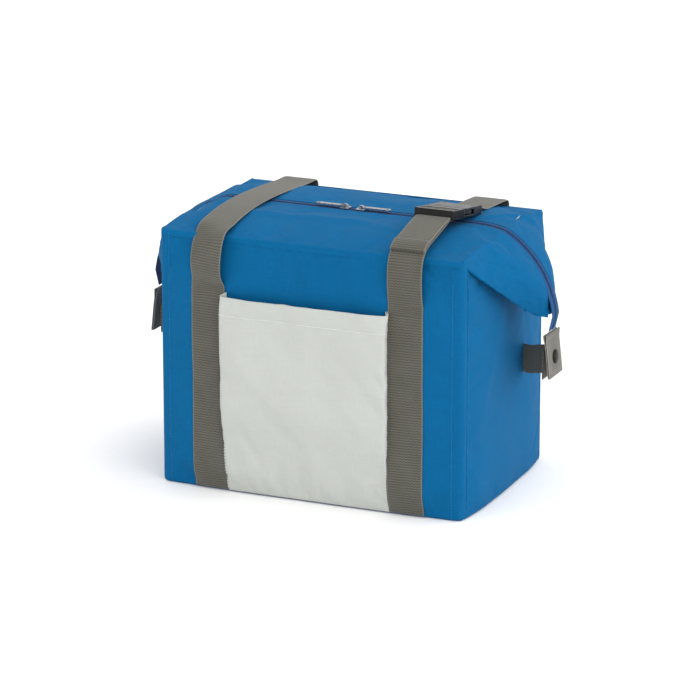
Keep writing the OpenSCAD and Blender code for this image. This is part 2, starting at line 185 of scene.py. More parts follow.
def put_weave(mesh, weave):
    """Stores each point's place on the flat cloth, in metres, for the weave to follow."""
    flat = np.zeros((len(mesh.vertices), 3), np.float32)
    flat[:, : weave.shape[-1]] = weave.reshape(-1, weave.shape[-1])
    attribute = mesh.attributes.new("weave", "FLOAT_VECTOR", "POINT")
    attribute.data.foreach_set("vector", flat.ravel())


def grid_faces(rows, cols, start=0, flip=False, close_rows=False):
    faces = []
    for i in range(rows if close_rows else rows - 1):
        for j in range(cols - 1):
            a = start + i * cols + j
            b = start + ((i + 1) % rows) * cols + j
            faces.append((a, a + 1, b + 1, b) if flip else (a, b, b + 1, a + 1))
    return faces


def edge_loop(rows, cols):
    """The points round the edge of a grid, in order."""
    loop = list(range(cols)) + [i * cols + cols - 1 for i in range(1, rows)]
    loop += [(rows - 1) * cols + j for j in range(cols - 2, -1, -1)]
    return loop + [i * cols for i in range(rows - 2, 0, -1)]


def cloth_piece(name, points, material, thickness, weave=None, normals=None, ring=False):
    """A sheet of cloth with its thickness: the points are its outer face, and a ring closes on itself."""
    rows, cols = points.shape[:2]
    if normals is None:
        normals = ring_normals(points) if ring else grid_normals(points)
    inner = points - normals * thickness
    verts = np.concatenate([points.reshape(-1, 3), inner.reshape(-1, 3)])
    n = rows * cols
    faces = grid_faces(rows, cols, close_rows=ring)
    faces += grid_faces(rows, cols, n, flip=True, close_rows=ring)
    faced = len(faces)
    low_edge = [i * cols for i in range(rows)]
    high_edge = [i * cols + cols - 1 for i in range(rows)]
    if ring:
        rims = list(zip(low_edge[1:] + low_edge[:1], low_edge))
        rims += list(zip(high_edge, high_edge[1:] + high_edge[:1]))
    else:
        loop = edge_loop(rows, cols)
        rims = list(zip(loop, loop[1:] + loop[:1]))
    faces += [(a, b, n + b, n + a) for a, b in rims]
    if weave is None:
        weave = flat_place(points)
    weave = np.concatenate([weave.reshape(-1, 2)] * 2)
    obj = new_object(name, verts, faces, material, weave)
    keep_normals(obj, np.concatenate([normals.reshape(-1, 3), -normals.reshape(-1, 3)]), faced)
    return obj


def flat_place(points):
    """Each grid point's place on the flat cloth, from its distance along the rows and columns."""
    down = np.linalg.norm(np.diff(points, axis=0, prepend=points[:1]), axis=2).cumsum(0)
    across = np.linalg.norm(np.diff(points, axis=1, prepend=points[:, :1]), axis=2).cumsum(1)
    row, column = points.shape[0] // 2, points.shape[1] // 2
    return np.stack(np.broadcast_arrays(down[:, column : column + 1], across[row : row + 1]), 2)


def keep_normals(obj, normals, count):
    """The first count faces shade with the normals given for their points; the rim shades flat."""
    mesh = obj.data
    wanted = np.zeros((len(mesh.loops), 3), np.float32)
    corner = np.empty(len(mesh.loops), int)
    mesh.loops.foreach_get("vertex_index", corner)
    for face in mesh.polygons:
        loops = slice(face.loop_start, face.loop_start + face.loop_total)
        wanted[loops] = normals[corner[loops]] if face.index < count else tuple(face.normal)
    mesh.normals_split_custom_set(wanted.tolist())


def webbing(name, middle, across, material, width=STRAP_W, lift=None):
    """A strap: middle is its centre line, across its sideways direction; both edges are rounded."""
    middle = np.asarray(middle, float)
    u = np.sin(np.linspace(-1, 1, WEB_COLUMNS) * math.pi / 2) * width / 2
    sheet = middle[:, None] + np.asarray(across, float) * u[None, :, None]
    if lift is not None:
        sheet = lift(sheet)
    normal = grid_normals(sheet)
    half = STRAP_T / 2 * np.sqrt(np.maximum(1 - (np.abs(u) / (width / 2)) ** 10, 0.02))
    upper = sheet + normal * half[None, :, None]
    lower = sheet - normal * half[None, :, None]
    flat = np.stack(np.broadcast_arrays(u[None, :], run_along(middle)[:, None]), 2)
    rows = len(middle)
    ring = np.concatenate([upper, lower[:, ::-1]], 1)
    ring_flat = np.concatenate([flat, flat[:, ::-1]], 1)
    cols = ring.shape[1]
    faces = []
    for i in range(rows - 1):
        for j in range(cols):
            a, b = i * cols + j, i * cols + (j + 1) % cols
            faces.append((a, a + cols, b + cols, b))
    faces.append(tuple(range(cols)))
    faces.append(tuple(range(rows * cols - 1, (rows - 1) * cols - 1, -1)))
    obj = new_object(name, ring.reshape(-1, 3), faces, material, ring_flat)
    sharp = [abs(face.index - len(faces)) <= 2 for face in obj.data.polygons]
    obj.data.polygons.foreach_set("use_smooth", [not s for s in sharp])
    return obj, sheet, normal


def thread(name, lines, material, pitch=3.4 * MM, radius=0.32 * MM, fill=0.68):
    """Stitches along lines, each a list of points on the cloth with the cloth's normals there."""
    ring, steps = 6, 4
    verts, faces = [], []
    for points, normals in lines:
        points = np.asarray(points, float)
        run = run_along(points)
        count = max(1, int(run[-1] / pitch))
        for k in range(count):
            at = (k + np.linspace(0.5 - fill / 2, 0.5 + fill / 2, steps)) * run[-1] / count
            centre = values_at(at, run, points)
            up = unit(values_at(at, run, normals))
            along = unit(np.gradient(centre, axis=0))
            side = unit(np.cross(along, up))
            swell = np.array([0.35, 1, 1, 0.35])
            sink = np.array([-0.5, 0.35, 0.35, -0.5]) * radius
            centre = centre + up * sink[:, None]
            start = len(verts)
            for i in range(steps):
                for a in range(ring):
                    angle = math.tau * a / ring
                    out = side[i] * math.cos(angle) + up[i] * math.sin(angle)
                    verts.append(centre[i] + out * radius * swell[i])
            for i in range(steps - 1):
                for a in range(ring):
                    p, q = start + i * ring + a, start + i * ring + (a + 1) % ring
                    faces.append((p, q, q + ring, p + ring))
            faces.append(tuple(start + a for a in range(ring - 1, -1, -1)))
            faces.append(tuple(start + (steps - 1) * ring + a for a in range(ring)))
    return new_object(name, verts, faces, material)


def from_cad(node, material, bevel):
    """A copy of a CAD node's mesh with its edges rounded, which stands for that node."""
    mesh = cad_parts[node].data.copy()
    mesh.name = node + "_made"
    if "custom_normal" in mesh.attributes:
        mesh.attributes.remove(mesh.attributes["custom_normal"])
    form = bmesh.new()
    form.from_mesh(mesh)
    bmesh.ops.remove_doubles(form, verts=form.verts, dist=1e-6)
    bmesh.ops.dissolve_limit(form, angle_limit=math.radians(1), verts=form.verts, edges=form.edges)
    form.to_mesh(mesh)
    form.free()
    obj = bpy.data.objects.new(mesh.name, mesh)
    bpy.context.scene.collection.objects.link(obj)
    mesh.materials.clear()
    mesh.materials.append(material)
    mesh.polygons.foreach_set("use_smooth", [True] * len(mesh.polygons))
    rounding = obj.modifiers.new("round", "BEVEL")
    rounding.width = bevel
    rounding.segments = 2
    rounding.limit_method = "ANGLE"
    rounding.angle_limit = math.radians(35)
    rounding.harden_normals = True
    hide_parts(node)
    return obj


def settled(points, pinned, pressure, cap, grow, ring=False):
    """Cloth simulation of a grid of points: where they settle, none further than cap from its place."""
    scene = bpy.context.scene
    shape = points.shape
    faces = grid_faces(*shape[:2], close_rows=ring)
    cloth_obj = new_object("settling", points.reshape(-1, 3), faces, FOAM)
    group = cloth_obj.vertex_groups.new(name="pinned")
    for index, weight in enumerate(np.broadcast_to(pinned, shape[:2]).ravel().tolist()):
        if weight > 0:
            group.add([index], weight, "REPLACE")
    cloth = cloth_obj.modifiers.new("cloth", "CLOTH")
    settings = cloth.settings
    settings.quality = 5
    settings.mass = 0.3
    settings.tension_stiffness = 25
    settings.compression_stiffness = 25
    settings.shear_stiffness = 10
    settings.bending_stiffness = 2
    settings.vertex_group_mass = "pinned"
    settings.use_pressure = True
    settings.uniform_pressure_force = pressure
    settings.shrink_min = -grow
    settings.effector_weights.gravity = 0
    cloth.collision_settings.use_collision = False
    cloth.point_cache.frame_start = 1
    cloth.point_cache.frame_end = SETTLE_FRAMES
    for step in range(1, SETTLE_FRAMES + 1):
        scene.frame_set(step)
    made = cloth_obj.evaluated_get(bpy.context.evaluated_depsgraph_get()).data
    moved = np.array([v.co for v in made.vertices]).reshape(shape) - points
    mesh = cloth_obj.data
    bpy.data.objects.remove(cloth_obj)
    bpy.data.meshes.remove(mesh)
    scene.frame_set(1)
    length = np.linalg.norm(moved, axis=2, keepdims=True)
    return points + moved / np.maximum(length, 1e-9) * cap * np.tanh(length / cap)


# ---------------------------------------------------------------- materials

class Nodes:
    """Short calls for building a node material."""

    def __init__(self, name):
        self.material = bpy.data.materials.new(name)
        self.material.use_nodes = True
        self.tree = self.material.node_tree
        self.tree.nodes.clear()
        self.shader = self.tree.nodes.new("ShaderNodeBsdfPrincipled")
        out = self.tree.nodes.new("ShaderNodeOutputMaterial")
        self.tree.links.new(self.shader.outputs["BSDF"], out.inputs["Surface"])

    def link(self, value, socket):
        if isinstance(value, (int, float, tuple)):
            socket.default_value = value
        else:
            self.tree.links.new(value, socket)

    def cloth_place(self):
        """Where a point lies on the flat cloth, as u and v in metres."""
        place = self.tree.nodes.new("ShaderNodeAttribute")
        place.attribute_name = "weave"
        parts = self.tree.nodes.new("ShaderNodeSeparateXYZ")
        self.tree.links.new(place.outputs["Vector"], parts.inputs["Vector"])
        return place.outputs["Vector"], parts.outputs["X"], parts.outputs["Y"]

    def object_place(self):
        return self.tree.nodes.new("ShaderNodeTexCoord").outputs["Object"]

    def math(self, operation, a, b=0.0):
        node = self.tree.nodes.new("ShaderNodeMath")
        node.operation = operation
        for socket, value in zip(node.inputs, (a, b)):
            self.link(value, socket)
        return node.outputs["Value"]

    def noise(self, place, scale, detail, stretch=(1, 1, 1)):
        """Noise between 0 and 1, about even around 0.5; scale is in waves per metre."""
        mapping = self.tree.nodes.new("ShaderNodeMapping")
        mapping.inputs["Scale"].default_value = stretch
        self.link(place, mapping.inputs["Vector"])
        node = self.tree.nodes.new("ShaderNodeTexNoise")
        node.inputs["Scale"].default_value = scale
        node.inputs["Detail"].default_value = detail
        self.link(mapping.outputs["Vector"], node.inputs["Vector"])
        return node.outputs["Fac"]

    def spread(self, value, low, high, out_low, out_high):
        node = self.tree.nodes.new("ShaderNodeMapRange")
        names = ("Value", "From Min", "From Max", "To Min", "To Max")
        for name, given in zip(names, (value, low, high, out_low, out_high)):
            self.link(given, node.inputs[name])
        return node.outputs["Result"]

    def mix(self, factor, a, b):
        node = self.tree.nodes.new("ShaderNodeMix")
        node.data_type = "RGBA"
        self.link(factor, node.inputs["Factor"])
        self.link(a, node.inputs["A"])
        self.link(b, node.inputs["B"])
        return node.outputs["Result"]

    def wave(self, place, period):
        """1 at the middle of each thread and 0 between threads."""
        return self.math("ABSOLUTE", self.math("SINE", self.math("MULTIPLY", place, math.pi / period)))

    def bump(self, height, depth):
        node = self.tree.nodes.new("ShaderNodeBump")
        node.inputs["Strength"].default_value = 1.0
        node.inputs["Distance"].default_value = depth
        self.link(height, node.inputs["Height"])
        return node.outputs["Normal"]

    def finish(self, color, roughness, normal=None, **fixed):
        self.link(color, self.shader.inputs["Base Color"])
        self.link(roughness, self.shader.inputs["Roughness"])
        if normal is not None:
            self.link(normal, self.shader.inputs["Normal"])
        for name, value in fixed.items():
            self.shader.inputs[name.replace("_", " ")].default_value = value
        return self.material


def plain_weave(name, color, shade, thread_w, roughness, depth, slub=0.5, sheen=0.15, mottle=0.06):
    """Woven cloth: crossing threads, uneven threads, and a slow change of colour over the cloth."""
    n = Nodes(name)
    place, u, v = n.cloth_place()
    warp = n.wave(u, thread_w)
    weft = n.wave(v, thread_w)
    over = n.math("SINE", n.math("MULTIPLY", u, math.pi / thread_w))
    under = n.math("SINE", n.math("MULTIPLY", v, math.pi / thread_w))
    turn = n.spread(n.math("MULTIPLY", over, under), -1.0, 1.0, 0.0, 1.0)
    warp_on_top = n.math("MULTIPLY", warp, turn)
    weft_on_top = n.math("MULTIPLY", weft, n.math("SUBTRACT", 1.0, turn))
    threads = n.math("ADD", warp_on_top, weft_on_top)
    long_slub = n.noise(place, 900.0, 2.0, (1.0, 0.06, 1.0))
    cross_slub = n.noise(place, 900.0, 2.0, (0.06, 1.0, 1.0))
    slubs = n.math("MULTIPLY", n.math("ADD", long_slub, cross_slub), 0.5)
    cloud = n.noise(place, 14.0, 3.0)
    thread_tone = n.math("MULTIPLY", n.math("SUBTRACT", threads, 0.6), 0.35)
    slub_tone = n.math("MULTIPLY", n.math("SUBTRACT", slubs, 0.5), slub * 4)
    tone = n.math("ADD", thread_tone, slub_tone)
    tone = n.math("ADD", tone, n.math("MULTIPLY", n.math("SUBTRACT", cloud, 0.5), mottle * 8))
    colour = n.mix(n.spread(tone, -0.5, 0.5, 0.0, 1.0), shade, color)
    rough = n.spread(slubs, 0.3, 0.7, roughness - 0.06, roughness + 0.06)
    height = n.math("ADD", n.math("MULTIPLY", threads, 0.7), n.math("MULTIPLY", slubs, 0.9))
    sheens = {"Sheen_Weight": sheen, "Sheen_Roughness": 0.45}
    return n.finish(colour, rough, n.bump(height, depth), Specular_IOR_Level=0.10, **sheens)


def ribbed_webbing(name, color, shade, light, rib, zigzag):
    """Strap webbing: ribs across it that run in a fine zigzag, with a lighter woven edge."""
    n = Nodes(name)
    place, u, v = n.cloth_place()
    fold = n.math("PINGPONG", u, zigzag)
    slant = n.math("ADD", v, n.math("MULTIPLY", fold, 0.55))
    ribs = n.wave(slant, rib)
    strands = n.wave(u, 1.1 * MM)
    fuzz = n.noise(place, 1500.0, 3.0)
    wear = n.noise(place, 30.0, 3.0)
    edge = n.spread(n.math("ABSOLUTE", u), STRAP_W / 2 - 1.6 * MM, STRAP_W / 2 - 0.8 * MM, 0.0, 1.0)
    body = n.math("ADD", n.math("MULTIPLY", ribs, 0.75), n.math("MULTIPLY", strands, 0.25))
    tone = n.math("ADD", body, n.math("MULTIPLY", n.math("SUBTRACT", fuzz, 0.5), 0.9))
    tone = n.math("ADD", tone, n.math("MULTIPLY", n.math("SUBTRACT", wear, 0.5), 0.5))
    colour = n.mix(n.spread(tone, 0.1, 1.1, 0.0, 1.0), shade, color)
    colour = n.mix(n.math("MULTIPLY", edge, 0.45), colour, light)
    rough = n.spread(fuzz, 0.3, 0.7, 0.78, 0.92)
    height = n.math("ADD", body, n.math("MULTIPLY", fuzz, 0.4))
    return n.finish(colour, rough, n.bump(height, 0.35 * MM), Sheen_Weight=0.2, Specular_IOR_Level=0.3)


def moulded_plastic(name, color, roughness):
    grain = 0.04 * MM
    n = Nodes(name)
    place = n.object_place()
    fine = n.noise(place, 2200.0, 3.0)
    broad = n.noise(place, 120.0, 3.0)
    lighter = tuple(min(1.0, c * 1.9 + 0.001) for c in color[:3]) + (1.0,)
    colour = n.mix(n.spread(broad, 0.35, 0.75, 0.0, 0.6), color, lighter)
    rough = n.spread(broad, 0.3, 0.7, roughness - 0.06, roughness + 0.1)
    return n.finish(colour, rough, n.bump(fine, grain), Specular_IOR_Level=0.3)


def worn_metal(name, color, edge, roughness):
    n = Nodes(name)
    place = n.object_place()
    fine = n.noise(place, 1600.0, 4.0)
    broad = n.noise(place, 260.0, 3.0)
    colour = n.mix(n.spread(broad, 0.45, 0.7, 0.0, 1.0), color, edge)
    rough = n.spread(fine, 0.3, 0.7, roughness - 0.07, roughness + 0.12)
    return n.finish(colour, rough, n.bump(fine, 0.015 * MM), Metallic=1.0)


def film_lining(name):
    """Crinkled waterproof film with a soft shine."""
    n = Nodes(name)
    place = n.object_place()
    crinkle = n.noise(place, 95.0, 6.0)
    fine = n.noise(place, 420.0, 4.0)
    colour = n.mix(n.spread(crinkle, 0.35, 0.65, 0.0, 1.0), (0.42, 0.44, 0.47, 1), (0.60, 0.62, 0.65, 1))
    rough = n.spread(fine, 0.3, 0.7, 0.28, 0.42)
    height = n.math("ADD", crinkle, n.math("MULTIPLY", fine, 0.3))
    return n.finish(colour, rough, n.bump(height, 1.2 * MM), Metallic=0.35)


def cell_foam(name):
    n = Nodes(name)
    place = n.object_place()
    cells = n.tree.nodes.new("ShaderNodeTexVoronoi")
    cells.inputs["Scale"].default_value = 500.0
    n.link(place, cells.inputs["Vector"])
    colour = n.mix(cells.outputs["Distance"], (0.80, 0.80, 0.77, 1), (0.93, 0.93, 0.91, 1))
    return n.finish(colour, 0.8, n.bump(cells.outputs["Distance"], 0.3 * MM))


BLUE = plain_weave(
    "blue_polyester", color=(0.0, 0.122, 0.300, 1), shade=(0.0, 0.086, 0.218, 1),
    thread_w=0.55 * MM, roughness=0.8, depth=0.10 * MM, sheen=0.02,
)
POCKET = plain_weave(
    "pocket_polyester", color=(0.52, 0.54, 0.51, 1), shade=(0.44, 0.455, 0.43, 1),
    thread_w=0.6 * MM, roughness=0.75, depth=0.08 * MM, slub=0.35, mottle=0.04,
)
TAPE = plain_weave(
    "zip_tape_weave", color=(0.0, 0.062, 0.200, 1), shade=(0.0, 0.036, 0.130, 1),
    thread_w=0.8 * MM, roughness=0.7, depth=0.10 * MM,
)
WEBBING = ribbed_webbing(
    "strap_webbing", color=(0.130, 0.125, 0.100, 1), shade=(0.036, 0.034, 0.027, 1),
    light=(0.22, 0.21, 0.18, 1), rib=2.8 * MM, zigzag=2.2 * MM,
)
TAB_WEBBING = ribbed_webbing(
    "tab_webbing", color=(0.180, 0.168, 0.145, 1), shade=(0.040, 0.037, 0.031, 1),
    light=(0.40, 0.38, 0.33, 1), rib=2.4 * MM, zigzag=2.4 * MM,
)
THREAD_BLUE = moulded_plastic("blue_thread", (0.008, 0.130, 0.330, 1), 0.5)
THREAD_GREY = moulded_plastic("grey_thread", (0.30, 0.29, 0.25, 1), 0.55)
THREAD_WHITE = moulded_plastic("white_thread", (0.62, 0.64, 0.61, 1), 0.55)
COIL = moulded_plastic("zip_coil_nylon", (0.0, 0.022, 0.085, 1), 0.35)
METAL = worn_metal("bright_zinc", (0.38, 0.38, 0.39, 1), (0.70, 0.69, 0.67, 1), 0.26)
BRONZE = worn_metal("black_bronze", (0.020, 0.016, 0.013, 1), (0.035, 0.028, 0.022, 1), 0.38)
STEEL = worn_metal("snap_rim_steel", (0.55, 0.54, 0.52, 1), (0.75, 0.74, 0.72, 1), 0.25)
PLASTIC = moulded_plastic("black_acetal", (0.002, 0.002, 0.0025, 1), 0.30)
FILM = film_lining("silver_film")
FOAM = cell_foam("white_foam")


# ---------------------------------------------------------------- camera, light and floor

def make_camera():
    azimuth, elevation, distance = math.radians(23.28), math.radians(16.79), 4.209
    level = math.cos(elevation)
    back = Vector((math.sin(azimuth) * level, -math.cos(azimuth) * level, math.sin(elevation)))
    right = Vector((math.cos(azimuth), math.sin(azimuth), 0))
    up = back.cross(right)
    centre = Vector((0, 0, 0.1381))
    aim = centre - right * 0.0037 - up * 0.0057
    data = bpy.data.cameras.new("camera")
    data.sensor_width = 36
    data.lens = 36 * 4000 / 700
    camera = bpy.data.objects.new("camera", data)
    bpy.context.scene.collection.objects.link(camera)
    camera.location = aim + back * distance
    camera.rotation_mode = "QUATERNION"
    camera.rotation_quaternion = (-back).to_track_quat("-Z", "Y")
    bpy.context.scene.camera = camera


def new_light(name, kind, energy, towards):
    """A light that shines from the direction towards, seen from the object."""
    data = bpy.data.lights.new(name, kind)
    data.energy = energy
    light = bpy.data.objects.new(name, data)
    bpy.context.scene.collection.objects.link(light)
    light.rotation_mode = "QUATERNION"
    light.rotation_quaternion = Vector(towards).to_track_quat("Z", "Y")
    return light


def make_studio():
    scene = bpy.context.scene
    scene.view_settings.view_transform = "Standard"
    world = bpy.data.worlds.new("studio")
    world.use_nodes = True
    world.node_tree.nodes["Background"].inputs["Color"].default_value = (1, 1, 1, 1)
    world.node_tree.nodes["Background"].inputs["Strength"].default_value = 0.90
    scene.world = world
    sun = new_light("key_sun", "SUN", 2.2, (0.72, -0.2, 0.66))
    sun.data.angle = math.radians(110)
    fill_place = Vector((-1.6, -2.0, 1.9))
    fill = new_light("fill", "AREA", 5, fill_place - Vector((0, 0, 0.15)))
    fill.data.shape = "SQUARE"
    fill.data.size = 1.6
    fill.location = fill_place
    n = Nodes("floor_white")
    cloud = n.noise(n.object_place(), 6.0, 2.0)
    colour = n.mix(cloud, (0.93, 0.93, 0.93, 1), (0.95, 0.95, 0.95, 1))
    floor_material = n.finish(colour, 0.9, n.bump(n.noise(n.object_place(), 300.0, 2.0), 0.02 * MM))
    reach = 12.0
    corners = [(-reach, -reach, 0), (reach, -reach, 0), (reach, reach, 0), (-reach, reach, 0)]
    floor = new_object("floor", corners, [(0, 1, 2, 3)], floor_material)


# ---------------------------------------------------------------- the walls

CORNER_R = 8.0 * MM
WALL_STEP = 4.0 * MM
SEAM_INSET = 2.0 * MM
BASE_R = 4.0 * MM


def ring_points():
    """Points round the body, anticlockwise from the front left corner, as (x, y, nx, ny, face, a).
    face counts front, right, rear, left; a runs from -1 to 1 along it."""
    rows = []
    spans = [(HALF_W, HALF_D, 0), (HALF_D, HALF_W, 1), (HALF_W, HALF_D, 2), (HALF_D, HALF_W, 3)]
    for half, off, face in spans:
        turn = face * math.pi / 2
        c, s = math.cos(turn), math.sin(turn)
        places = np.linspace(-1, 1, int(2 * half / WALL_STEP))
        if face % 2 == 1:
            beside = 1 - (SEAM_INSET + np.array([-1.1, -0.5, 0.0, 0.5, 1.1]) * MM) / half
            places = np.unique(np.concatenate([places, beside, -beside]))
        for a in places:
            x, y = a * (half - CORNER_R), -off
            rows.append((c * x - s * y, s * x + c * y, s, -c, face, a))
        for step in np.arange(1, 7) / 7:
            angle = (step - 1) * math.pi / 2
            x = half - CORNER_R + CORNER_R * math.cos(angle)
            y = -off + CORNER_R + CORNER_R * math.sin(angle)
            nx, ny = math.cos(angle), math.sin(angle)
            rows.append((c * x - s * y, s * x + c * y, c * nx - s * ny, s * nx + c * ny, face, 1.0))
    return np.array(rows)


def wall_bulge(face, a, z):
    """How far the padded wall stands out of its flat board."""
    long_side = face % 2 == 0
    half = np.where(long_side, HALF_W, HALF_D)
    amount = np.where(long_side, 8.5, 7.0) * MM
    across = 1 - np.abs(a) ** np.where(long_side, 5.0, 3.5)
    foot = np.where(long_side, smooth(-12 * MM, 34 * MM, z), smooth(-40 * MM, 20 * MM, z))
    head = smooth(TOP_Z + 2 * MM, TOP_Z - 62 * MM, z)
    u = a * half
    loose = np.clip(1 - np.abs(a) ** 6, 0, 1) * np.sin(np.pi * np.clip(z / TOP_Z, 0, 1)) ** 0.4
    waves = ripple(u + face * 3.1, z, 0.11, 11) * 0.9 * MM
    waves = waves + ripple(u + face * 2.3, z, 0.045, 12) * 0.25 * MM
    marks = crease(u, z, (-0.02, 0.235), (-0.085, 0.10), 1.1 * MM, 9 * MM)
    marks = marks + crease(u, z, (0.03, 0.22), (0.08, 0.05), -0.9 * MM, 8 * MM)
    marks = marks + crease(u, z, (-0.095, 0.05), (0.02, 0.02), 0.8 * MM, 7 * MM)
    tucks = np.zeros_like(u)
    for x in (-STRAP_X, STRAP_X):
        ends = (x - STRAP_W / 2, SEWN_Z), (x + STRAP_W / 2, SEWN_Z)
        tucks = tucks + crease(u, z, *ends, -3.0 * MM, 8 * MM)
    seam = -0.9 * MM * np.exp(-((((1 - np.abs(a)) * half - SEAM_INSET) / (0.7 * MM)) ** 2))
    folds = loose * (waves + np.where(long_side, tucks, marks))
    return amount * across * foot * head + folds + np.where(long_side, 0, seam)


def make_walls():
    ring = ring_points()
    lip = 2.5 * MM
    arc = np.linspace(0, math.pi / 2, 5)[1:]
    rolled = np.radians([80, 60, 40, 20])
    z_rows = np.concatenate([BASE_R * (1 - np.sin(rolled)), np.linspace(BASE_R, TOP_Z - lip, 64)])
    insets = np.concatenate([BASE_R * (1 - np.cos(rolled)), np.zeros(64)])
    rows = []
    for z, inset in zip(z_rows, insets):
        stand = wall_bulge(ring[:, 4], ring[:, 5], np.full(len(ring), z))
        base = ring[:, :2] + ring[:, 2:4] * (stand - inset)[:, None]
        rows.append(np.column_stack([base, np.full(len(ring), z)]))
    for t in arc:
        base = ring[:, :2] - ring[:, 2:4] * lip * (1 - math.cos(t))
        rows.append(np.column_stack([base, np.full(len(ring), TOP_Z - lip + lip * math.sin(t))]))
    points = np.array(rows).transpose(1, 0, 2)
    z = points[:, :, 2]
    hold_edge = smooth(0.965, 0.99, np.abs(ring[:, 5]))[:, None]
    hold_ends = np.maximum(smooth(8 * MM, 3 * MM, z), smooth(TOP_Z - 9 * MM, TOP_Z - 4 * MM, z))
    points = settled(points, np.maximum(hold_edge, hold_ends), 2.5, 1.6 * MM, grow=0.012, ring=True)
    normals = ring_normals(points)
    weave = np.stack(np.broadcast_arrays(run_along(ring[:, :2])[:, None], z), 2)
    walls = cloth_piece("body_cover", points, BLUE, 1.2 * MM, weave, normals, ring=True)
    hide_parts("front_panel", "rear_panel", "left_panel", "right_panel")
    give(walls, "root")
    faces = grid_faces(*points.shape[:2], close_rows=True)
    tree = BVHTree.FromPolygons([tuple(p) for p in points.reshape(-1, 3)], faces)
    return ring, points, normals, tree


def make_base(points):
    """The sewn-in base, from its middle out to the walls' lower edge."""
    shares = np.concatenate([np.linspace(0.001, 0.96, 24), [0.975, 0.99, 1.0]])
    edge = points[:, 0]
    fan = edge[:, None] * np.stack([shares, shares, smooth(0.95, 1.0, shares)], 1)[None]
    base = cloth_piece("base_cover", fan, BLUE, 1.3 * MM, fan[..., :2], ring=True)
    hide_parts("base_panel")
    give(base, "root")


def wall_stitches(ring, made, normals):
    """A row of topstitching beside each upright corner."""
    lines = []
    for face in range(4):
        on = np.where(ring[:, 4] == face)[0]
        half = HALF_D if face % 2 else HALF_W
        for place in (-1 + 6 * MM / half, 1 - 6 * MM / half):
            at = on[np.argmin(np.abs(ring[on, 5] - place))]
            lines.append((made[at, 2:-4] + normals[at, 2:-4] * 0.1 * MM, normals[at, 2:-4]))
    stitches = thread("corner_stitching", lines, THREAD_BLUE)
    give(stitches, "root")


# ---------------------------------------------------------------- the top: flaps, ears and zip

def ridge(s, side):
    """The zip's line in (x, z): s is 0 to 1 along half the flap, 1 to 2 down an ear. The left end sinks."""
    s = np.asarray(s, float)
    x_flat = np.clip(s, 0, 1) * HALF_W
    z_flat = ZIP_Z + 0.4 * MM - 4.2 * MM * np.clip((x_flat - (HALF_W - 32 * MM)) / (32 * MM), 0, 1) ** 2
    start = math.acos((HALF_W - RIDGE_CENTRE[0]) / RIDGE_R)
    angle = start + (RIDGE_END - start) * np.clip(s - 1, 0, 1)
    x_arc = RIDGE_CENTRE[0] + RIDGE_R * np.cos(angle)
    z_arc = RIDGE_CENTRE[1] + RIDGE_R * np.sin(angle)
    x = np.where(s > 1, x_arc, x_flat)
    z = np.where(s > 1, z_arc, z_flat)
    sink = 6.0 * MM * smooth(HALF_W - 25 * MM, HALF_W - 3 * MM, x) * smooth(1.45, 1.0, s)
    return x, z - (sink if side < 0 else 0)


def fold_edge(s):
    """The outer edge of the top at the front, with the same s: the wall's top, then the ear's fold."""
    s = np.asarray(s, float)
    t = np.clip(s - 1, 0, 1)
    x = np.clip(s, 0, 1) * (HALF_W - 3.5 * MM) + 42.5 * MM * t ** 0.85
    y = -HALF_D + 3.0 * MM + 97 * MM * t
    sag = 1.6 * MM * np.cos(np.clip(s, 0, 1) * math.pi / 2) ** 2
    z = TOP_Z - np.where(s < 1, sag, 0) - 77 * MM * t ** 0.9
    return np.stack([x, y, z], -1)


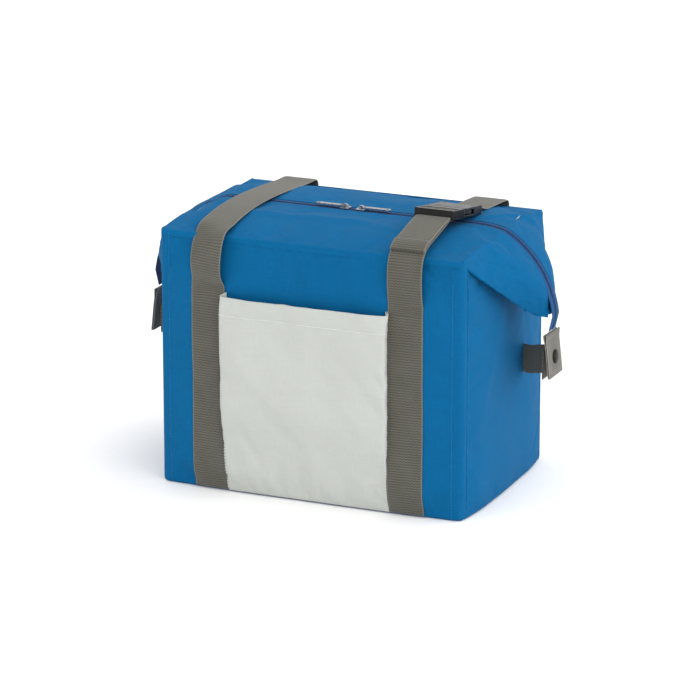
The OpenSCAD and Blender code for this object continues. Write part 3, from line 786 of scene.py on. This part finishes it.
def top_grid(side, face, s_values, v_values):
    """Points of the top's cloth: s runs out along the zip, v from 0 at the fold edge to 1 by the zip."""
    s, v = np.meshgrid(s_values, v_values, indexing="ij")
    edge = fold_edge(s)
    rx, rz = ridge(s, side)
    t = np.clip(s - 1, 0, 1)
    tip = smooth(0.72, 1.0, t)
    inner_z = rz + 0.7 * MM - 3.0 * MM * tip
    inner = np.stack([rx - 5.5 * MM * tip, np.full_like(rx, -TAPE_HALF), inner_z], -1)
    points = edge + (inner - edge) * v[..., None]
    lean = np.arctan2(rz - RIDGE_CENTRE[1], rx - RIDGE_CENTRE[0])
    lean = np.pi / 2 + (lean - np.pi / 2) * smooth(0.0, 0.35, t)
    out = np.stack([np.cos(lean), -0.25 * smooth(0, 0.5, t), np.sin(lean)], -1)
    x = points[..., 0] * side
    y = points[..., 1]
    over_body = 3.4 * MM * (1 - smooth(0, 0.4, t)) * (1 - 0.7 * smooth(0.65, 1.0, s))
    crown = np.sin(np.pi * v) * (over_body + 5.5 * MM * np.sin(np.pi * t) ** 0.8)
    loose = np.sin(np.pi * np.clip(v, 0, 1)) ** 0.6
    waves = ripple(x, y + face, 0.085, 21) * 0.8 * MM + ripple(x, y + 2 * face, 0.04, 22) * 0.3 * MM
    marks = np.zeros_like(x)
    if face == FRONT:
        marks = marks + crease(x, y, (-0.105, -0.054), (0.035, -0.046), 2.2 * MM, 8 * MM)
        marks = marks + crease(x, y, (0.0, -0.040), (0.085, -0.060), 1.3 * MM, 7 * MM)
        marks = marks + crease(x, y, (-0.10, -0.022), (0.10, -0.022), -1.6 * MM, 11 * MM)
    else:
        marks = marks + crease(x, y, (-0.09, -0.022), (0.09, -0.022), -1.4 * MM, 10 * MM)
        marks = marks + crease(x, y, (0.135, -0.018), (0.175, -0.085), 1.5 * MM, 6 * MM)
        marks = marks + crease(x, y, (-0.135, -0.018), (-0.17, -0.08), 1.3 * MM, 6 * MM)
    down = t * 96 * MM
    pucker = np.sin(down / (9.5 * MM) * math.tau / 2 + 0.8) * np.exp(-((1 - v) / 0.30) ** 2)
    pucker = pucker * 0.7 * MM * smooth(0.03, 0.2, t)
    radial = ripple(down, y, 0.03, 23) * 0.45 * MM * smooth(0.02, 0.3, t)
    points = points + out * (crown + loose * (waves + marks + radial) + pucker * (1 - v ** 8))[..., None]
    points[..., 0] *= side
    points[..., 1] *= -face
    return points


V_ROWS = [np.linspace(0, 0.12, 5)[:-1], np.linspace(0.12, 0.93, 30), [0.955, 0.975, 0.99, 1.0]]
V_ROWS = np.concatenate(V_ROWS)
FLAP_SHARE = FLAP_END / HALF_W
FLAP_S = np.linspace(0, FLAP_SHARE, 58)
RIM_S = np.linspace(FLAP_SHARE, 1, 4)
EAR_S = 1 + np.linspace(0, 1, 44) ** 1.1
HALF_S = np.concatenate([FLAP_S[1:], RIM_S[1:], EAR_S[1:]])
MIDDLE = len(HALF_S)


def whole_top(face):
    """The cloth from the tip of the left ear to the tip of the right one, with its normals."""
    left = top_grid(-1, face, HALF_S[::-1], V_ROWS)
    right = top_grid(1, face, np.concatenate([[0], HALF_S]), V_ROWS)
    points = np.concatenate([left, right])
    hold = np.maximum(smooth(0.05, 0.0, V_ROWS), smooth(0.93, 0.97, V_ROWS))
    tips = np.abs(np.arange(len(points)) - MIDDLE) > MIDDLE - 3
    order = points if face == FRONT else points[::-1]
    order = settled(order, np.maximum(hold[None], tips[:, None]), 1.6, 1.6 * MM, grow=0.012)
    points = order if face == FRONT else order[::-1]
    return points, grid_normals(points) * -face


def rolled_edge(sheet, normals, face):
    """The same sheet, with its outer edge turned down over the wall's top."""
    radius = 5.0 * MM
    turns = np.linspace(-0.25, 1.3, 6)
    out = np.stack([np.zeros(6), face * np.cos(turns), np.sin(turns)], 1)
    roll = sheet[:, :1] + out[None] * radius * [1, 0.75, 1] - [0, 0, radius]
    roll_normals = np.broadcast_to(out, roll.shape)
    return np.concatenate([roll, sheet], 1), np.concatenate([roll_normals, normals], 1)


def make_flap(name, face, points, normals):
    keep = slice(MIDDLE - len(FLAP_S) + 1, MIDDLE + len(FLAP_S))
    sheet, up = rolled_edge(points[keep], normals[keep], face)
    turn = slice(None, None, -face)
    weave = sheet[turn, :, :2]
    cover = cloth_piece(name + "_flap_skin", sheet[turn], BLUE, 1.2 * MM, weave, up[turn])
    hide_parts(name + "_flap_cover")
    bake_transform(cover)


def make_rim(name, side, face, points, normals):
    """The strip of the top that stays on the body at the end of a flap."""
    first = MIDDLE + side * (len(FLAP_S) - 1)
    last = first + side * (len(RIM_S) - 1)
    keep = slice(min(first, last), max(first, last) + 1)
    sheet, up = rolled_edge(points[keep], normals[keep], face)
    turn = slice(None, None, -face)
    rim = cloth_piece(name, sheet[turn], BLUE, 1.2 * MM, sheet[turn, :, :2], up[turn])
    give(rim, "root")


def make_ear_half(name, side_name, face, points, normals):
    """Half of an ear as one cloth: its face, its fold, and its inner leaf back to the middle."""
    side = SIDES[side_name]
    first = MIDDLE + side * (len(FLAP_S) + len(RIM_S) - 2)
    keep = slice(first, None) if side > 0 else slice(0, first + 1)
    sheet, up = points[keep], normals[keep]
    if side < 0:
        sheet, up = sheet[::-1], up[::-1]
    t = np.clip(EAR_S - 1, 0, 1)
    radius = 2.2 * MM * smooth(0, 0.10, t)[:, None, None]
    away = unit(sheet[:, 0] - sheet[:, 3])[:, None]
    top = up[:, :1]
    turns = np.linspace(math.pi, 0, 8)[:-1][None, :, None]
    centre = sheet[:, :1] - top * radius
    roll_normals = top * np.cos(turns) + away * np.sin(turns)
    roll = centre + roll_normals * radius
    foot = roll[:, 0]
    middle_x, middle_z = ridge(EAR_S, side)
    pinch = smooth(0.80, 1.0, t)
    leaf = []
    for w in np.linspace(1, 0, 12)[:-1]:
        pull = pinch * smooth(0, 0.6, w)
        x = foot[:, 0] + (side * (middle_x - 5.0 * MM) - foot[:, 0]) * pull
        z = foot[:, 2] + (middle_z + 1.0 * MM - foot[:, 2]) * pull
        leaf.append(np.stack([x, foot[:, 1] * (1 - w), z], 1))
    leaf = np.stack(leaf, 1)
    whole = np.concatenate([leaf, roll, sheet], 1)
    if side * face > 0:
        whole = whole[::-1]
    made_normals = grid_normals(whole)
    given = np.concatenate([roll_normals, up], 1)
    given = given[::-1] if side * face > 0 else given
    made_normals[:, -given.shape[1] :] = given
    ear = cloth_piece(name, whole, BLUE, 1.2 * MM, flat_place(whole), made_normals)
    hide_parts(side_name + "_ear")
    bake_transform(ear)
    return sheet, up


def make_top():
    faces = {}
    for name, face in (("front", FRONT), ("rear", REAR)):
        points, normals = whole_top(face)
        faces[face] = points, normals
        make_flap(name, face, points, normals)
        for side_name, side in SIDES.items():
            make_rim(f"{side_name}_rim_{name}", side, face, points, normals)
            make_ear_half(f"{side_name}_ear_{name}", side_name, face, points, normals)
    return faces


# ---------------------------------------------------------------- the zip

def zip_line(s_values, side=1):
    """Points along the middle of the zip, with the direction that stands off the cloth there."""
    x, z = ridge(s_values, side)
    line = np.stack([x * side, np.zeros_like(x), z], 1)
    along = unit(np.gradient(line, axis=0))
    across = np.array([0.0, 1.0, 0.0]) * side
    return line, unit(np.cross(along, across))


def zip_strip(name, line, up, low, high, side=1):
    """A tape from y = low to y = high along the zip's line."""
    across = np.linspace(low, high, 6 if high - low < 12 * MM else 12)
    points = line[:, None] + np.array([0, 1, 0]) * across[None, :, None]
    if side < 0:
        points = points[:, ::-1]
    return cloth_piece(name, points, TAPE, 0.7 * MM, normals=np.broadcast_to(up[:, None], points.shape))


def zip_teeth(name, line, up, face):
    """The coil's turns on one side of the zip; the rear ones stand between the front ones."""
    pitch = 2.1 * MM
    run = run_along(line)
    reach = np.array([[0, face * 2.5 * MM, 0], [0, -face * 0.5 * MM, 0]])
    bars = []
    for at in np.arange(pitch * (1.0 if face == REAR else 0.5), run[-1], pitch):
        stand = unit(values_at(at, run, up))
        bars.append((values_at(at, run, line) + reach + stand * 0.35 * MM, np.stack([stand, stand])))
    return thread(name, bars, COIL, pitch=3.0 * MM, radius=0.62 * MM, fill=1.0)


def zip_seams(name, line, up, places):
    """Rows of fine stitches along the zip at those distances from its middle."""
    rows = [(line + np.array([0, y, 0]) + up * 0.15 * MM, up) for y in places]
    return thread(name, rows, THREAD_BLUE, pitch=2.4 * MM, radius=0.25 * MM, fill=0.6)


def make_zip():
    flat = np.concatenate([-FLAP_S[:0:-1], FLAP_S])
    line, up = zip_line(np.abs(flat))
    line[:, 0] *= np.sign(flat)
    line[:, 2] = np.where(flat < 0, ridge(np.abs(flat), -1)[1], line[:, 2])
    up = np.broadcast_to([0.0, 0.0, 1.0], up.shape)
    for name, face in (("front", FRONT), ("rear", REAR)):
        low, high = sorted((face * 9.5 * MM, face * 0.3 * MM))
        tape = zip_strip(name + "_tape", line, up, low, high)
        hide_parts(name + "_zip_tape")
        teeth = zip_teeth(name + "_coil", line, up, face)
        seams = zip_seams(name + "_tape_stitching", line, up, [face * 3.6 * MM, face * 5.6 * MM])
        for piece in (tape, teeth, seams):
            give(piece, name + "_flap")
    for side_name, side in SIDES.items():
        line, up = zip_line(np.concatenate([RIM_S, EAR_S[1:]]), side)
        end = np.array([side * (TAB_HINGE[0] + 0.9 * MM), 0, TAB_HINGE[1] + 2.4 * MM])
        line = np.concatenate([line, [end]])
        up = np.concatenate([up, [[side, 0, 0]]])
        tape = zip_strip(side_name + "_ear_tape", line, up, -9.5 * MM, 9.5 * MM, side)
        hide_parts(side_name + "_ear_zip")
        coils = side_name + "_ear_coil_"
        teeth = [zip_teeth(f"{coils}{face > 0:d}", line, up, face) for face in (FRONT, REAR)]
        places = [y * MM for y in (-5.6, -3.6, 3.6, 5.6)]
        seams = zip_seams(side_name + "_ear_stitching", line, up, places)
        for piece in [tape, seams] + teeth:
            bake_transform(piece)
    for side_name in SIDES:
        for part in ("_zip_slider", "_zip_pull"):
            metal = from_cad(side_name + part, METAL, 0.3 * MM)
            give(metal, side_name + part)


# ---------------------------------------------------------------- inside: foam, lining and flap pads

def make_inside():
    for node in ("base_foam", "front_foam", "rear_foam", "left_foam", "right_foam"):
        board = from_cad(node, FOAM, 0.8 * MM)
        for corner in board.data.vertices:
            corner.co.z = min(corner.co.z, TOP_Z - 4.5 * MM)
            if abs(corner.co.y) > HALF_D - WALL_T + 1 * MM:
                corner.co.x = max(6.5 * MM - HALF_W, min(HALF_W - 6.5 * MM, corner.co.x))
        give(board, "root")
    half_x, half_y = HALF_W - WALL_T + 0.5 * MM, HALF_D - WALL_T + 0.5 * MM
    corner = 7 * MM
    floor = 9 * MM
    around_count = 240
    turns = np.linspace(0, math.tau, around_count, endpoint=False)
    around = np.stack([np.cos(turns), np.sin(turns)], 1)
    square = np.sign(around) * np.abs(around) ** 0.12
    rim = [(TOP_Z - 3.9 * MM, 6.0 * MM), (TOP_Z - 3.6 * MM, 3.2 * MM), (TOP_Z - 4.2 * MM, 0.4 * MM)]
    rows = []
    for z, out in rim:
        rows.append((half_x + out, half_y + out, z))
    for z in np.linspace(TOP_Z - 7 * MM, floor + corner, 40):
        rows.append((half_x, half_y, z))
    for turn in np.linspace(0.2, math.pi / 2, 5):
        inset = corner * (1 - math.cos(turn))
        rows.append((half_x - inset, half_y - inset, floor + corner * (1 - math.sin(turn))))
    for share in np.linspace(0.9, 0.001, 20):
        rows.append(((half_x - corner) * share, (half_y - corner) * share, floor))
    points = np.array([np.column_stack([square * [x, y], np.full(around_count, z)]) for x, y, z in rows])
    points = points.transpose(1, 0, 2)
    out = unit(points * [1, 1, 0] + 1e-9)
    wrinkle = ripple(points[..., 0] + points[..., 1], points[..., 2], 0.035, 31) * 0.6 * MM
    depth = smooth(TOP_Z - 2 * MM, TOP_Z - 12 * MM, points[..., 2])
    points = points - out * (np.abs(wrinkle) * depth)[..., None]
    tub = cloth_piece("lining_tub", points, FILM, 0.5 * MM, ring=True)
    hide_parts("liner")
    give(tub, "root")


def make_flap_pads(faces):
    """The padded underside of each flap, in the same film as the lining."""
    for name, face in (("front", FRONT), ("rear", REAR)):
        points = faces[face][0]
        low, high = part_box(name + "_flap_foam")
        keep = slice(MIDDLE - len(FLAP_S) + 2, MIDDLE + len(FLAP_S) - 1)
        inside = np.abs(points[MIDDLE, :, 1]) < max(abs(low.y), abs(high.y))
        top = points[keep][:, inside] - [0, 0, 1.5 * MM]
        edge = np.minimum.outer(FLAP_END - np.abs(top[:, 0, 0]), np.full(top.shape[1], 1.0))
        across = np.linspace(0, 1, top.shape[1])
        crown = np.sin(np.pi * np.clip(across, 0.02, 0.98)) ** 0.35
        swell = np.minimum(smooth(0, 12 * MM, edge), crown[None]) * smooth(-0.10, 0.30, across)[None]
        waves = ripple(top[..., 0], top[..., 1], 0.05, 41) * 0.6 * MM
        under = top - [0, 0, 1.0 * MM]
        under[..., 2] -= swell * (5.6 * MM + waves)
        rows, cols = top.shape[:2]
        n = rows * cols
        turn = face > 0
        verts = np.concatenate([top.reshape(-1, 3), under.reshape(-1, 3)])
        loop = edge_loop(rows, cols)
        rims = [(a, b, n + b, n + a) for a, b in zip(loop, loop[1:] + loop[:1])]
        polygons = grid_faces(rows, cols) + grid_faces(rows, cols, n, flip=True) + rims
        if turn:
            polygons = [p[::-1] for p in polygons]
        pad = new_object(name + "_flap_pad", verts, polygons, FILM)
        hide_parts(name + "_flap_foam", name + "_flap_liner")
        give(pad, name + "_flap")


def make_gussets(faces):
    """The lining that closes the space under each end of the top, just beyond the flaps."""
    for side_name, side in SIDES.items():
        at = MIDDLE + side * (len(FLAP_S) - 1)
        front, rear = faces[FRONT][0][at], faces[REAR][0][at]
        upper = np.concatenate([front, rear[::-1]]) - [0, 0, 1.4 * MM]
        upper[:, 0] = side * (FLAP_END + 0.9 * MM)
        lower = upper.copy()
        lower[:, 2] = TOP_Z - 3.8 * MM
        points = np.stack([lower, (lower + upper) / 2, upper], 1)
        if side > 0:
            points = points[::-1]
        gusset = cloth_piece(side_name + "_gusset", points, FILM, 0.5 * MM)
        give(gusset, "root")


# ---------------------------------------------------------------- the pocket

def wall_face(tree, x, z, face):
    """The y of the wall's cloth at (x, z) on the front or the rear."""
    hit = tree.ray_cast(Vector((x, face * 0.2, z)), Vector((0, -face, 0)))[0]
    return hit.y if hit is not None else face * HALF_D


def make_pocket(tree):
    low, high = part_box("front_pocket")
    top, foot = high.z, low.z
    wall_x = high.x
    face_x = wall_x + 3.5 * MM
    lying = 2.2 * MM
    stand_top = 11 * MM
    z_rows = np.concatenate([np.linspace(foot, 62 * MM, 22)[:-1], np.linspace(62 * MM, top, 50)])
    side_u = np.linspace(0, 1, 7)
    face_u = np.linspace(-1, 1, 64)
    points = np.zeros((len(side_u) * 2 + len(face_u) - 2, len(z_rows), 3))
    for j, z in enumerate(z_rows):
        stand = lying + (stand_top - lying) * float(smooth(30 * MM, 105 * MM, z))
        reach = face_x + (wall_x - face_x) * (1 - stand / stand_top)
        place = [(-wall_x + (wall_x - reach) * u, stand * u) for u in side_u[:-1]]
        place += [(reach * u, stand + 0.6 * MM * (1 - u * u)) for u in face_u]
        place += [(wall_x - (wall_x - reach) * u, stand * u) for u in side_u[-2::-1]]
        place = resample(rounded([place[0], place[6], place[-7], place[-1]], 4 * MM), len(points))
        for i, (x, y) in enumerate(place):
            wall = wall_face(tree, max(-0.16, min(0.16, x)), z, FRONT)
            rise = 2.5 * MM * (1 - y / stand) * float(smooth(top - 25 * MM, top, z))
            points[i, j] = (x, wall - y, z + rise)
    x, z = points[..., 0], points[..., 2]
    u = np.linspace(0, 1, len(points))[:, None]
    free = np.clip(1 - np.abs(2 * u - 1) ** 8, 0, 1) * smooth(foot + 15 * MM, foot + 70 * MM, z)
    dents = ripple(x, z, 0.07, 51) * 0.9 * MM + ripple(x, z, 0.03, 52) * 0.25 * MM
    dents = dents + crease(x, z, (-0.080, 0.085), (-0.040, 0.020), -2.0 * MM, 9 * MM)
    dents = dents + crease(x, z, (-0.055, 0.110), (-0.005, 0.060), -1.4 * MM, 10 * MM)
    dents = dents + crease(x, z, (0.015, 0.050), (0.060, 0.095), -1.0 * MM, 9 * MM)
    hem_line = crease(x, z, (-0.10, top - 20 * MM), (0.10, top - 20 * MM), -0.7 * MM, 2.2 * MM)
    points[..., 1] -= free * (dents + hem_line)
    hold = np.maximum(smooth(0.02, 0.0, np.minimum(u, 1 - u)), smooth(foot + 6 * MM, foot, z))
    points = settled(points, hold, 0.8, 1.5 * MM, grow=0.008)
    normals = grid_normals(points)
    pocket = cloth_piece("pocket_cloth", points, POCKET, 0.9 * MM, normals=normals)
    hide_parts("front_pocket")
    give(pocket, "root")
    hem_rows = points[:, -9:] - normals[:, -9:] * 1.5 * MM
    hem = cloth_piece("pocket_hem", hem_rows, POCKET, 0.8 * MM, normals=normals[:, -9:])
    give(hem, "root")
    row = int(np.argmin(np.abs(z_rows - (top - 20 * MM))))
    seams = [(points[2:-2, row] + normals[2:-2, row] * 0.1 * MM, normals[2:-2, row])]
    for column in (1, len(points) - 2):
        seams.append((points[column, 1:] + normals[column, 1:] * 0.1 * MM, normals[column, 1:]))
    stitches = thread("pocket_stitching", seams, THREAD_WHITE)
    give(stitches, "root")


# ---------------------------------------------------------------- the straps

STRAP_Y = HALF_D + STRAP_T / 2
CORNER = 6.0 * MM
BUCKLE_TILT = math.radians(9)


def from_buckle(y, z):
    """A (y, z) point given in millimetres along and above the tilted buckle."""
    c, s = math.cos(BUCKLE_TILT), math.sin(BUCKLE_TILT)
    y, z = y * MM, z * MM
    return c * y + s * z, TOP_Z + 16.3 * MM - s * y + c * z


def strap_top(y):
    """Height of the left strap's middle over the top: an arch that is fuller towards the front."""
    u = y / (HALF_D - 5.2 * MM)
    return TOP_Z + CORNER + 8.0 * MM * (1 - u ** 2) * (1 - 0.55 * u)


def over_edge(face):
    """(y, z) points round a top edge, from the wall to the top."""
    corner = (face * (HALF_D - 5.2 * MM), TOP_Z)
    reach = CORNER + STRAP_T / 2
    turns = np.linspace(0, math.radians(75), 6)
    return [(corner[0] + face * reach * math.cos(t), corner[1] + reach * math.sin(t)) for t in turns]


def run_up(face, top=SEWN_Z, count=60):
    """(y, z) points up a wall, from the base seam to the top of the stitched run."""
    return [(face * STRAP_Y, z) for z in np.linspace(2.5 * MM, top, count)]


def on_wall(tree, twist):
    """A lift for webbing(): lays it on the wall's cloth where it is sewn, and twists its loose front."""
    def lift(sheet):
        made = sheet.copy()
        for i, j in np.ndindex(*sheet.shape[:2]):
            x, y, z = sheet[i, j]
            if y < 0:
                loose = float(smooth(SEWN_Z, SEWN_Z + 20 * MM, z) * smooth(-98 * MM, -122 * MM, y))
                lean = math.radians(60) * float(smooth(TOP_Z - 13 * MM, TOP_Z + 7 * MM, z))
                shift = twist * loose * (x + STRAP_X) / (STRAP_W / 2)
                made[i, j] += [0, -shift * math.cos(lean), shift * math.sin(lean)]
                y = made[i, j, 1]
            if z < TOP_Z - 1 * MM and abs(y) > HALF_D - 2 * MM:
                face = math.copysign(1, y)
                wall = abs(wall_face(tree, x, z, face)) + STRAP_T / 2 + 0.1 * MM
                made[i, j, 1] = face * max(abs(y), wall)
        return made
    return lift


def strap_line(points, x):
    points = np.asarray(points, float)
    return np.column_stack([np.full(len(points), x), points])


def spaced(points, step):
    """A smooth path through given points, evenly spaced."""
    path = rounded(points, 12 * MM, 4)
    length = np.linalg.norm(np.diff(path, axis=0), axis=1).sum()
    return resample(path, max(4, int(length / step)))


def strap_stitches(name, sheet, normal, body):
    """Edge rows on the stitched run, and the two crosswise rows that end it."""
    rows = [i for i in range(len(sheet)) if sheet[i, 0, 2] < SEWN_Z]
    on_top = sheet + normal * (STRAP_T / 2 + 0.05 * MM)
    lines = []
    for column in (2, sheet.shape[1] - 3):
        lines.append((on_top[rows, column], normal[rows, column]))
    for back in (1, 4):
        at = rows[-back] if sheet[rows[0], 0, 2] < sheet[rows[-1], 0, 2] else rows[back - 1]
        lines.append((on_top[at, 2:-2], normal[at, 2:-2]))
    stitches = thread(name, lines, THREAD_GREY, pitch=3.2 * MM, radius=0.28 * MM)
    give(stitches, body)


def in_mm(points):
    """(y, z) points given in millimetres."""
    return [(y * MM, z * MM) for y, z in points]


def make_strap(name, x, path, tree, nodes, twist=0.0):
    """A length of strap webbing on (y, z) points at x, which stands for those CAD nodes."""
    lift = None if tree is None else on_wall(tree, twist)
    strap, sheet, normal = webbing(name, strap_line(path, x), (1, 0, 0), WEBBING, lift=lift)
    if nodes:
        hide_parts(*nodes)
    return strap, sheet, normal


def make_left_strap(tree):
    """One strap from base seam to base seam, over the top in an arch."""
    span = [(y, strap_top(y)) for y in np.linspace(-96, 96, 25) * MM]
    front, rear = run_up(FRONT), run_up(REAR)
    bow = in_mm([
        (-127.5, 232), (-130.2, 243), (-129.5, 252), (-127.2, 261), (-124.0, 268.5),
        (-118.0, 275.5), (-108.0, 281),
    ])
    climb = spaced([front[-1]] + bow + span[:1], 3 * MM)
    descent = spaced([span[-1]] + over_edge(REAR)[::-1] + [rear[-1]], 3 * MM)
    path = np.vstack([front[:-1], climb, span[1:-1], descent, rear[-2::-1]])
    nodes = ("left_strap_front", "left_strap_loop", "left_strap_rear")
    strap, sheet, normal = make_strap("left_strap", -STRAP_X, path, tree, nodes, 5 * MM)
    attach(strap, "root")
    half = len(sheet) // 2
    strap_stitches("left_strap_stitching_front", sheet[:half], normal[:half], "root")
    strap_stitches("left_strap_stitching_rear", sheet[half:], normal[half:], "root")


def make_right_strap(tree):
    """Its sewn front run, its loop through the male buckle half, its folded tail and its rear part."""
    run, sheet, normal = make_strap("right_strap_run", STRAP_X, run_up(FRONT), tree, ["right_strap_front"])
    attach(run, "root")
    strap_stitches("right_strap_stitching_front", sheet, normal, "root")

    climb = [(-STRAP_Y, SEWN_Z)] + in_mm([
        (-122.5, 224), (-125.5, 234), (-127.0, 248), (-126.8, 260), (-125.4, 270), (-121.5, 277.5),
        (-114.5, 283.2), (-106, 286.6), (-90, 290.0), (-70, 294.4),
    ])
    through_male = [
        (-52, -0.3), (-44, -0.3), (-36.2, -0.3), (-32.5, 1.0), (-31.6, 4), (-32.4, 7.3), (-35, 8.9),
        (-39, 9.0), (-41.9, 7.2), (-42.8, 4), (-43.6, 2.4), (-46, 1.7), (-52, 1.7),
    ]
    climb += [from_buckle(*point) for point in through_male]
    loop_path = resample(rounded(climb, 8 * MM, 5), 150)
    loop = make_strap("right_strap_loop", STRAP_X, loop_path, tree, ["right_strap_front_loop"])[0]
    tail_points = [from_buckle(-51.5, 1.75)]
    tail_points += in_mm([(-70, 297.6), (-90, 293.0), (-106, 289.4), (-114, 286.2), (-119.2, 281.6)])
    tail_path = resample(rounded(tail_points, 10 * MM, 5), 36)
    tail = make_strap("right_strap_end", STRAP_X, tail_path, None, ["right_strap_tail"])[0]
    hem_path = tail_path[-9:] + np.array([-0.5 * MM, 1.5 * MM])
    hem = make_strap("right_strap_hem", STRAP_X, hem_path, None, [])[0]
    for piece in (loop, tail, hem):
        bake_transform(piece)

    through_female = [
        (52, 1.2), (32, 0.4), (26, 0.2), (24.1, 1.4), (23.5, 4),
        (24.1, 6.6), (26, 7.7), (32, 6.8), (52, 2.9),
    ]
    back = [from_buckle(*point) for point in through_female]
    back += in_mm([(80, 284.2), (100, 282.7)]) + over_edge(REAR)[::-1]
    top_count = 90
    back = resample(rounded(back, 8 * MM, 5), top_count)
    path = np.vstack([back, run_up(REAR, TOP_Z - 2 * MM, 74)[::-1]])
    nodes = ("right_strap_rear", "right_strap_rear_loop")
    rear, sheet, normal = make_strap("right_strap_rear_part", STRAP_X, path, tree, nodes)
    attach(rear, "root")
    strap_stitches("right_strap_stitching_rear", sheet[top_count:], normal[top_count:], "root")


def make_buckle():
    bodies = {"buckle_female": "root", "buckle_male": "buckle_male"}
    bodies.update({f"buckle_{side}_arm": f"buckle_{side}_arm" for side in SIDES})
    for node, body in bodies.items():
        part = from_cad(node, PLASTIC, 0.45 * MM)
        give(part, body)


# ---------------------------------------------------------------- the tabs and snaps

def make_tab(side_name, side):
    lean = TAB_LEAN
    drop = TAB_DROP
    half = 0.9 * MM
    margin = 4 * MM
    down = np.array([side * math.sin(lean), 0, -math.cos(lean)])
    out = np.array([side * math.cos(lean), 0, math.sin(lean)])
    hinge = np.array([side * TAB_HINGE[0], 0, TAB_HINGE[1]])
    path = [hinge + down * d + out * half for d in np.linspace(0, drop - half, 22)]
    for a in np.linspace(0.4, 2.7, 6):
        path.append(hinge + down * (drop - half + half * math.sin(a)) + out * half * math.cos(a))
    path += [hinge + down * d - out * half for d in np.linspace(drop - half, 0, 22)]

    def flare(sheet):
        """The cut ends at the top stand a little apart, and the sides wave slightly."""
        depth = TAB_HINGE[1] - sheet[..., 2]
        outward = np.sign(np.arange(len(sheet)) - len(sheet) / 2)[:, None]
        corner = (np.abs(sheet[..., 1]) / (STRAP_W / 2)) ** 3
        stand = -outward * smooth(10 * MM, 0, depth) * corner * 1.0 * MM
        wave = ripple(sheet[..., 1], sheet[..., 2], 0.03, 61) * 0.25 * MM
        return sheet + out * (stand + wave)[..., None]

    tab = webbing(side_name + "_tab_webbing", path, (0, side, 0), TAB_WEBBING, lift=flare)[0]
    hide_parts(side_name + "_tab")
    give(tab, side_name + "_tab")
    rows = []
    left, right = [0, -14 * MM, 0], [0, 14 * MM, 0]
    face = hinge + out * (half + STRAP_T / 2 + 0.1 * MM)
    upper, lower = face + down * margin, face + down * (drop - margin)
    ends = [(upper + left, lower + left), (upper + right, lower + right)]
    ends += [(upper + left, upper + right), (lower + left, lower + right)]
    for pair in ends:
        rows.append((np.array(pair), np.stack([out, out])))
    stitches = thread(side_name + "_tab_stitching", rows, THREAD_GREY, radius=0.26 * MM)
    give(stitches, side_name + "_tab")
    cap = from_cad(side_name + "_snap_cap", BRONZE, 0.3 * MM)
    socket = from_cad(side_name + "_snap_socket", STEEL, 0.2 * MM)
    for part in (cap, socket):
        give(part, side_name + "_tab")


def make_snap_strap(side_name, side):
    low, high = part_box(side_name + "_snap_strap")
    plate_x = max(abs(low.x), abs(high.x)) - STRAP_T / 2
    reach = (plate_x - HALF_W) / MM
    foot = [(1.6, 64), (1.6, 42), (4.2, 36.5)]
    plate = [(11.7, 15), (4.2, 11), (0.6, 8.5), (0, 6), (0, -14)]
    turns = foot + [(reach - x, y) for x, y in plate]
    path = spaced([(HALF_W + x * MM, y * MM) for x, y in turns], 2.5 * MM)
    droop = 9 * MM * smooth(plate_x, HALF_W + 10 * MM, path[:, 0])
    middle = np.column_stack([side * path[:, 0], path[:, 1], (low.z + high.z) / 2 - droop])
    strap = webbing(side_name + "_snap_webbing", middle, (0, 0, -side), WEBBING, width=31 * MM)[0]
    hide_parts(side_name + "_snap_strap")
    give(strap, "root")
    stud = from_cad(side_name + "_snap_stud", STEEL, 0.2 * MM)
    give(stud, "root")


make_camera()
make_studio()
ring, wall_points, wall_normals, wall_tree = make_walls()
make_base(wall_points)
wall_stitches(ring, wall_points, wall_normals)
top_faces = make_top()
make_zip()
make_inside()
make_flap_pads(top_faces)
make_gussets(top_faces)
make_pocket(wall_tree)
make_left_strap(wall_tree)
make_right_strap(wall_tree)
make_buckle()
for side_name, side in SIDES.items():
    make_tab(side_name, side)
    make_snap_strap(side_name, side)
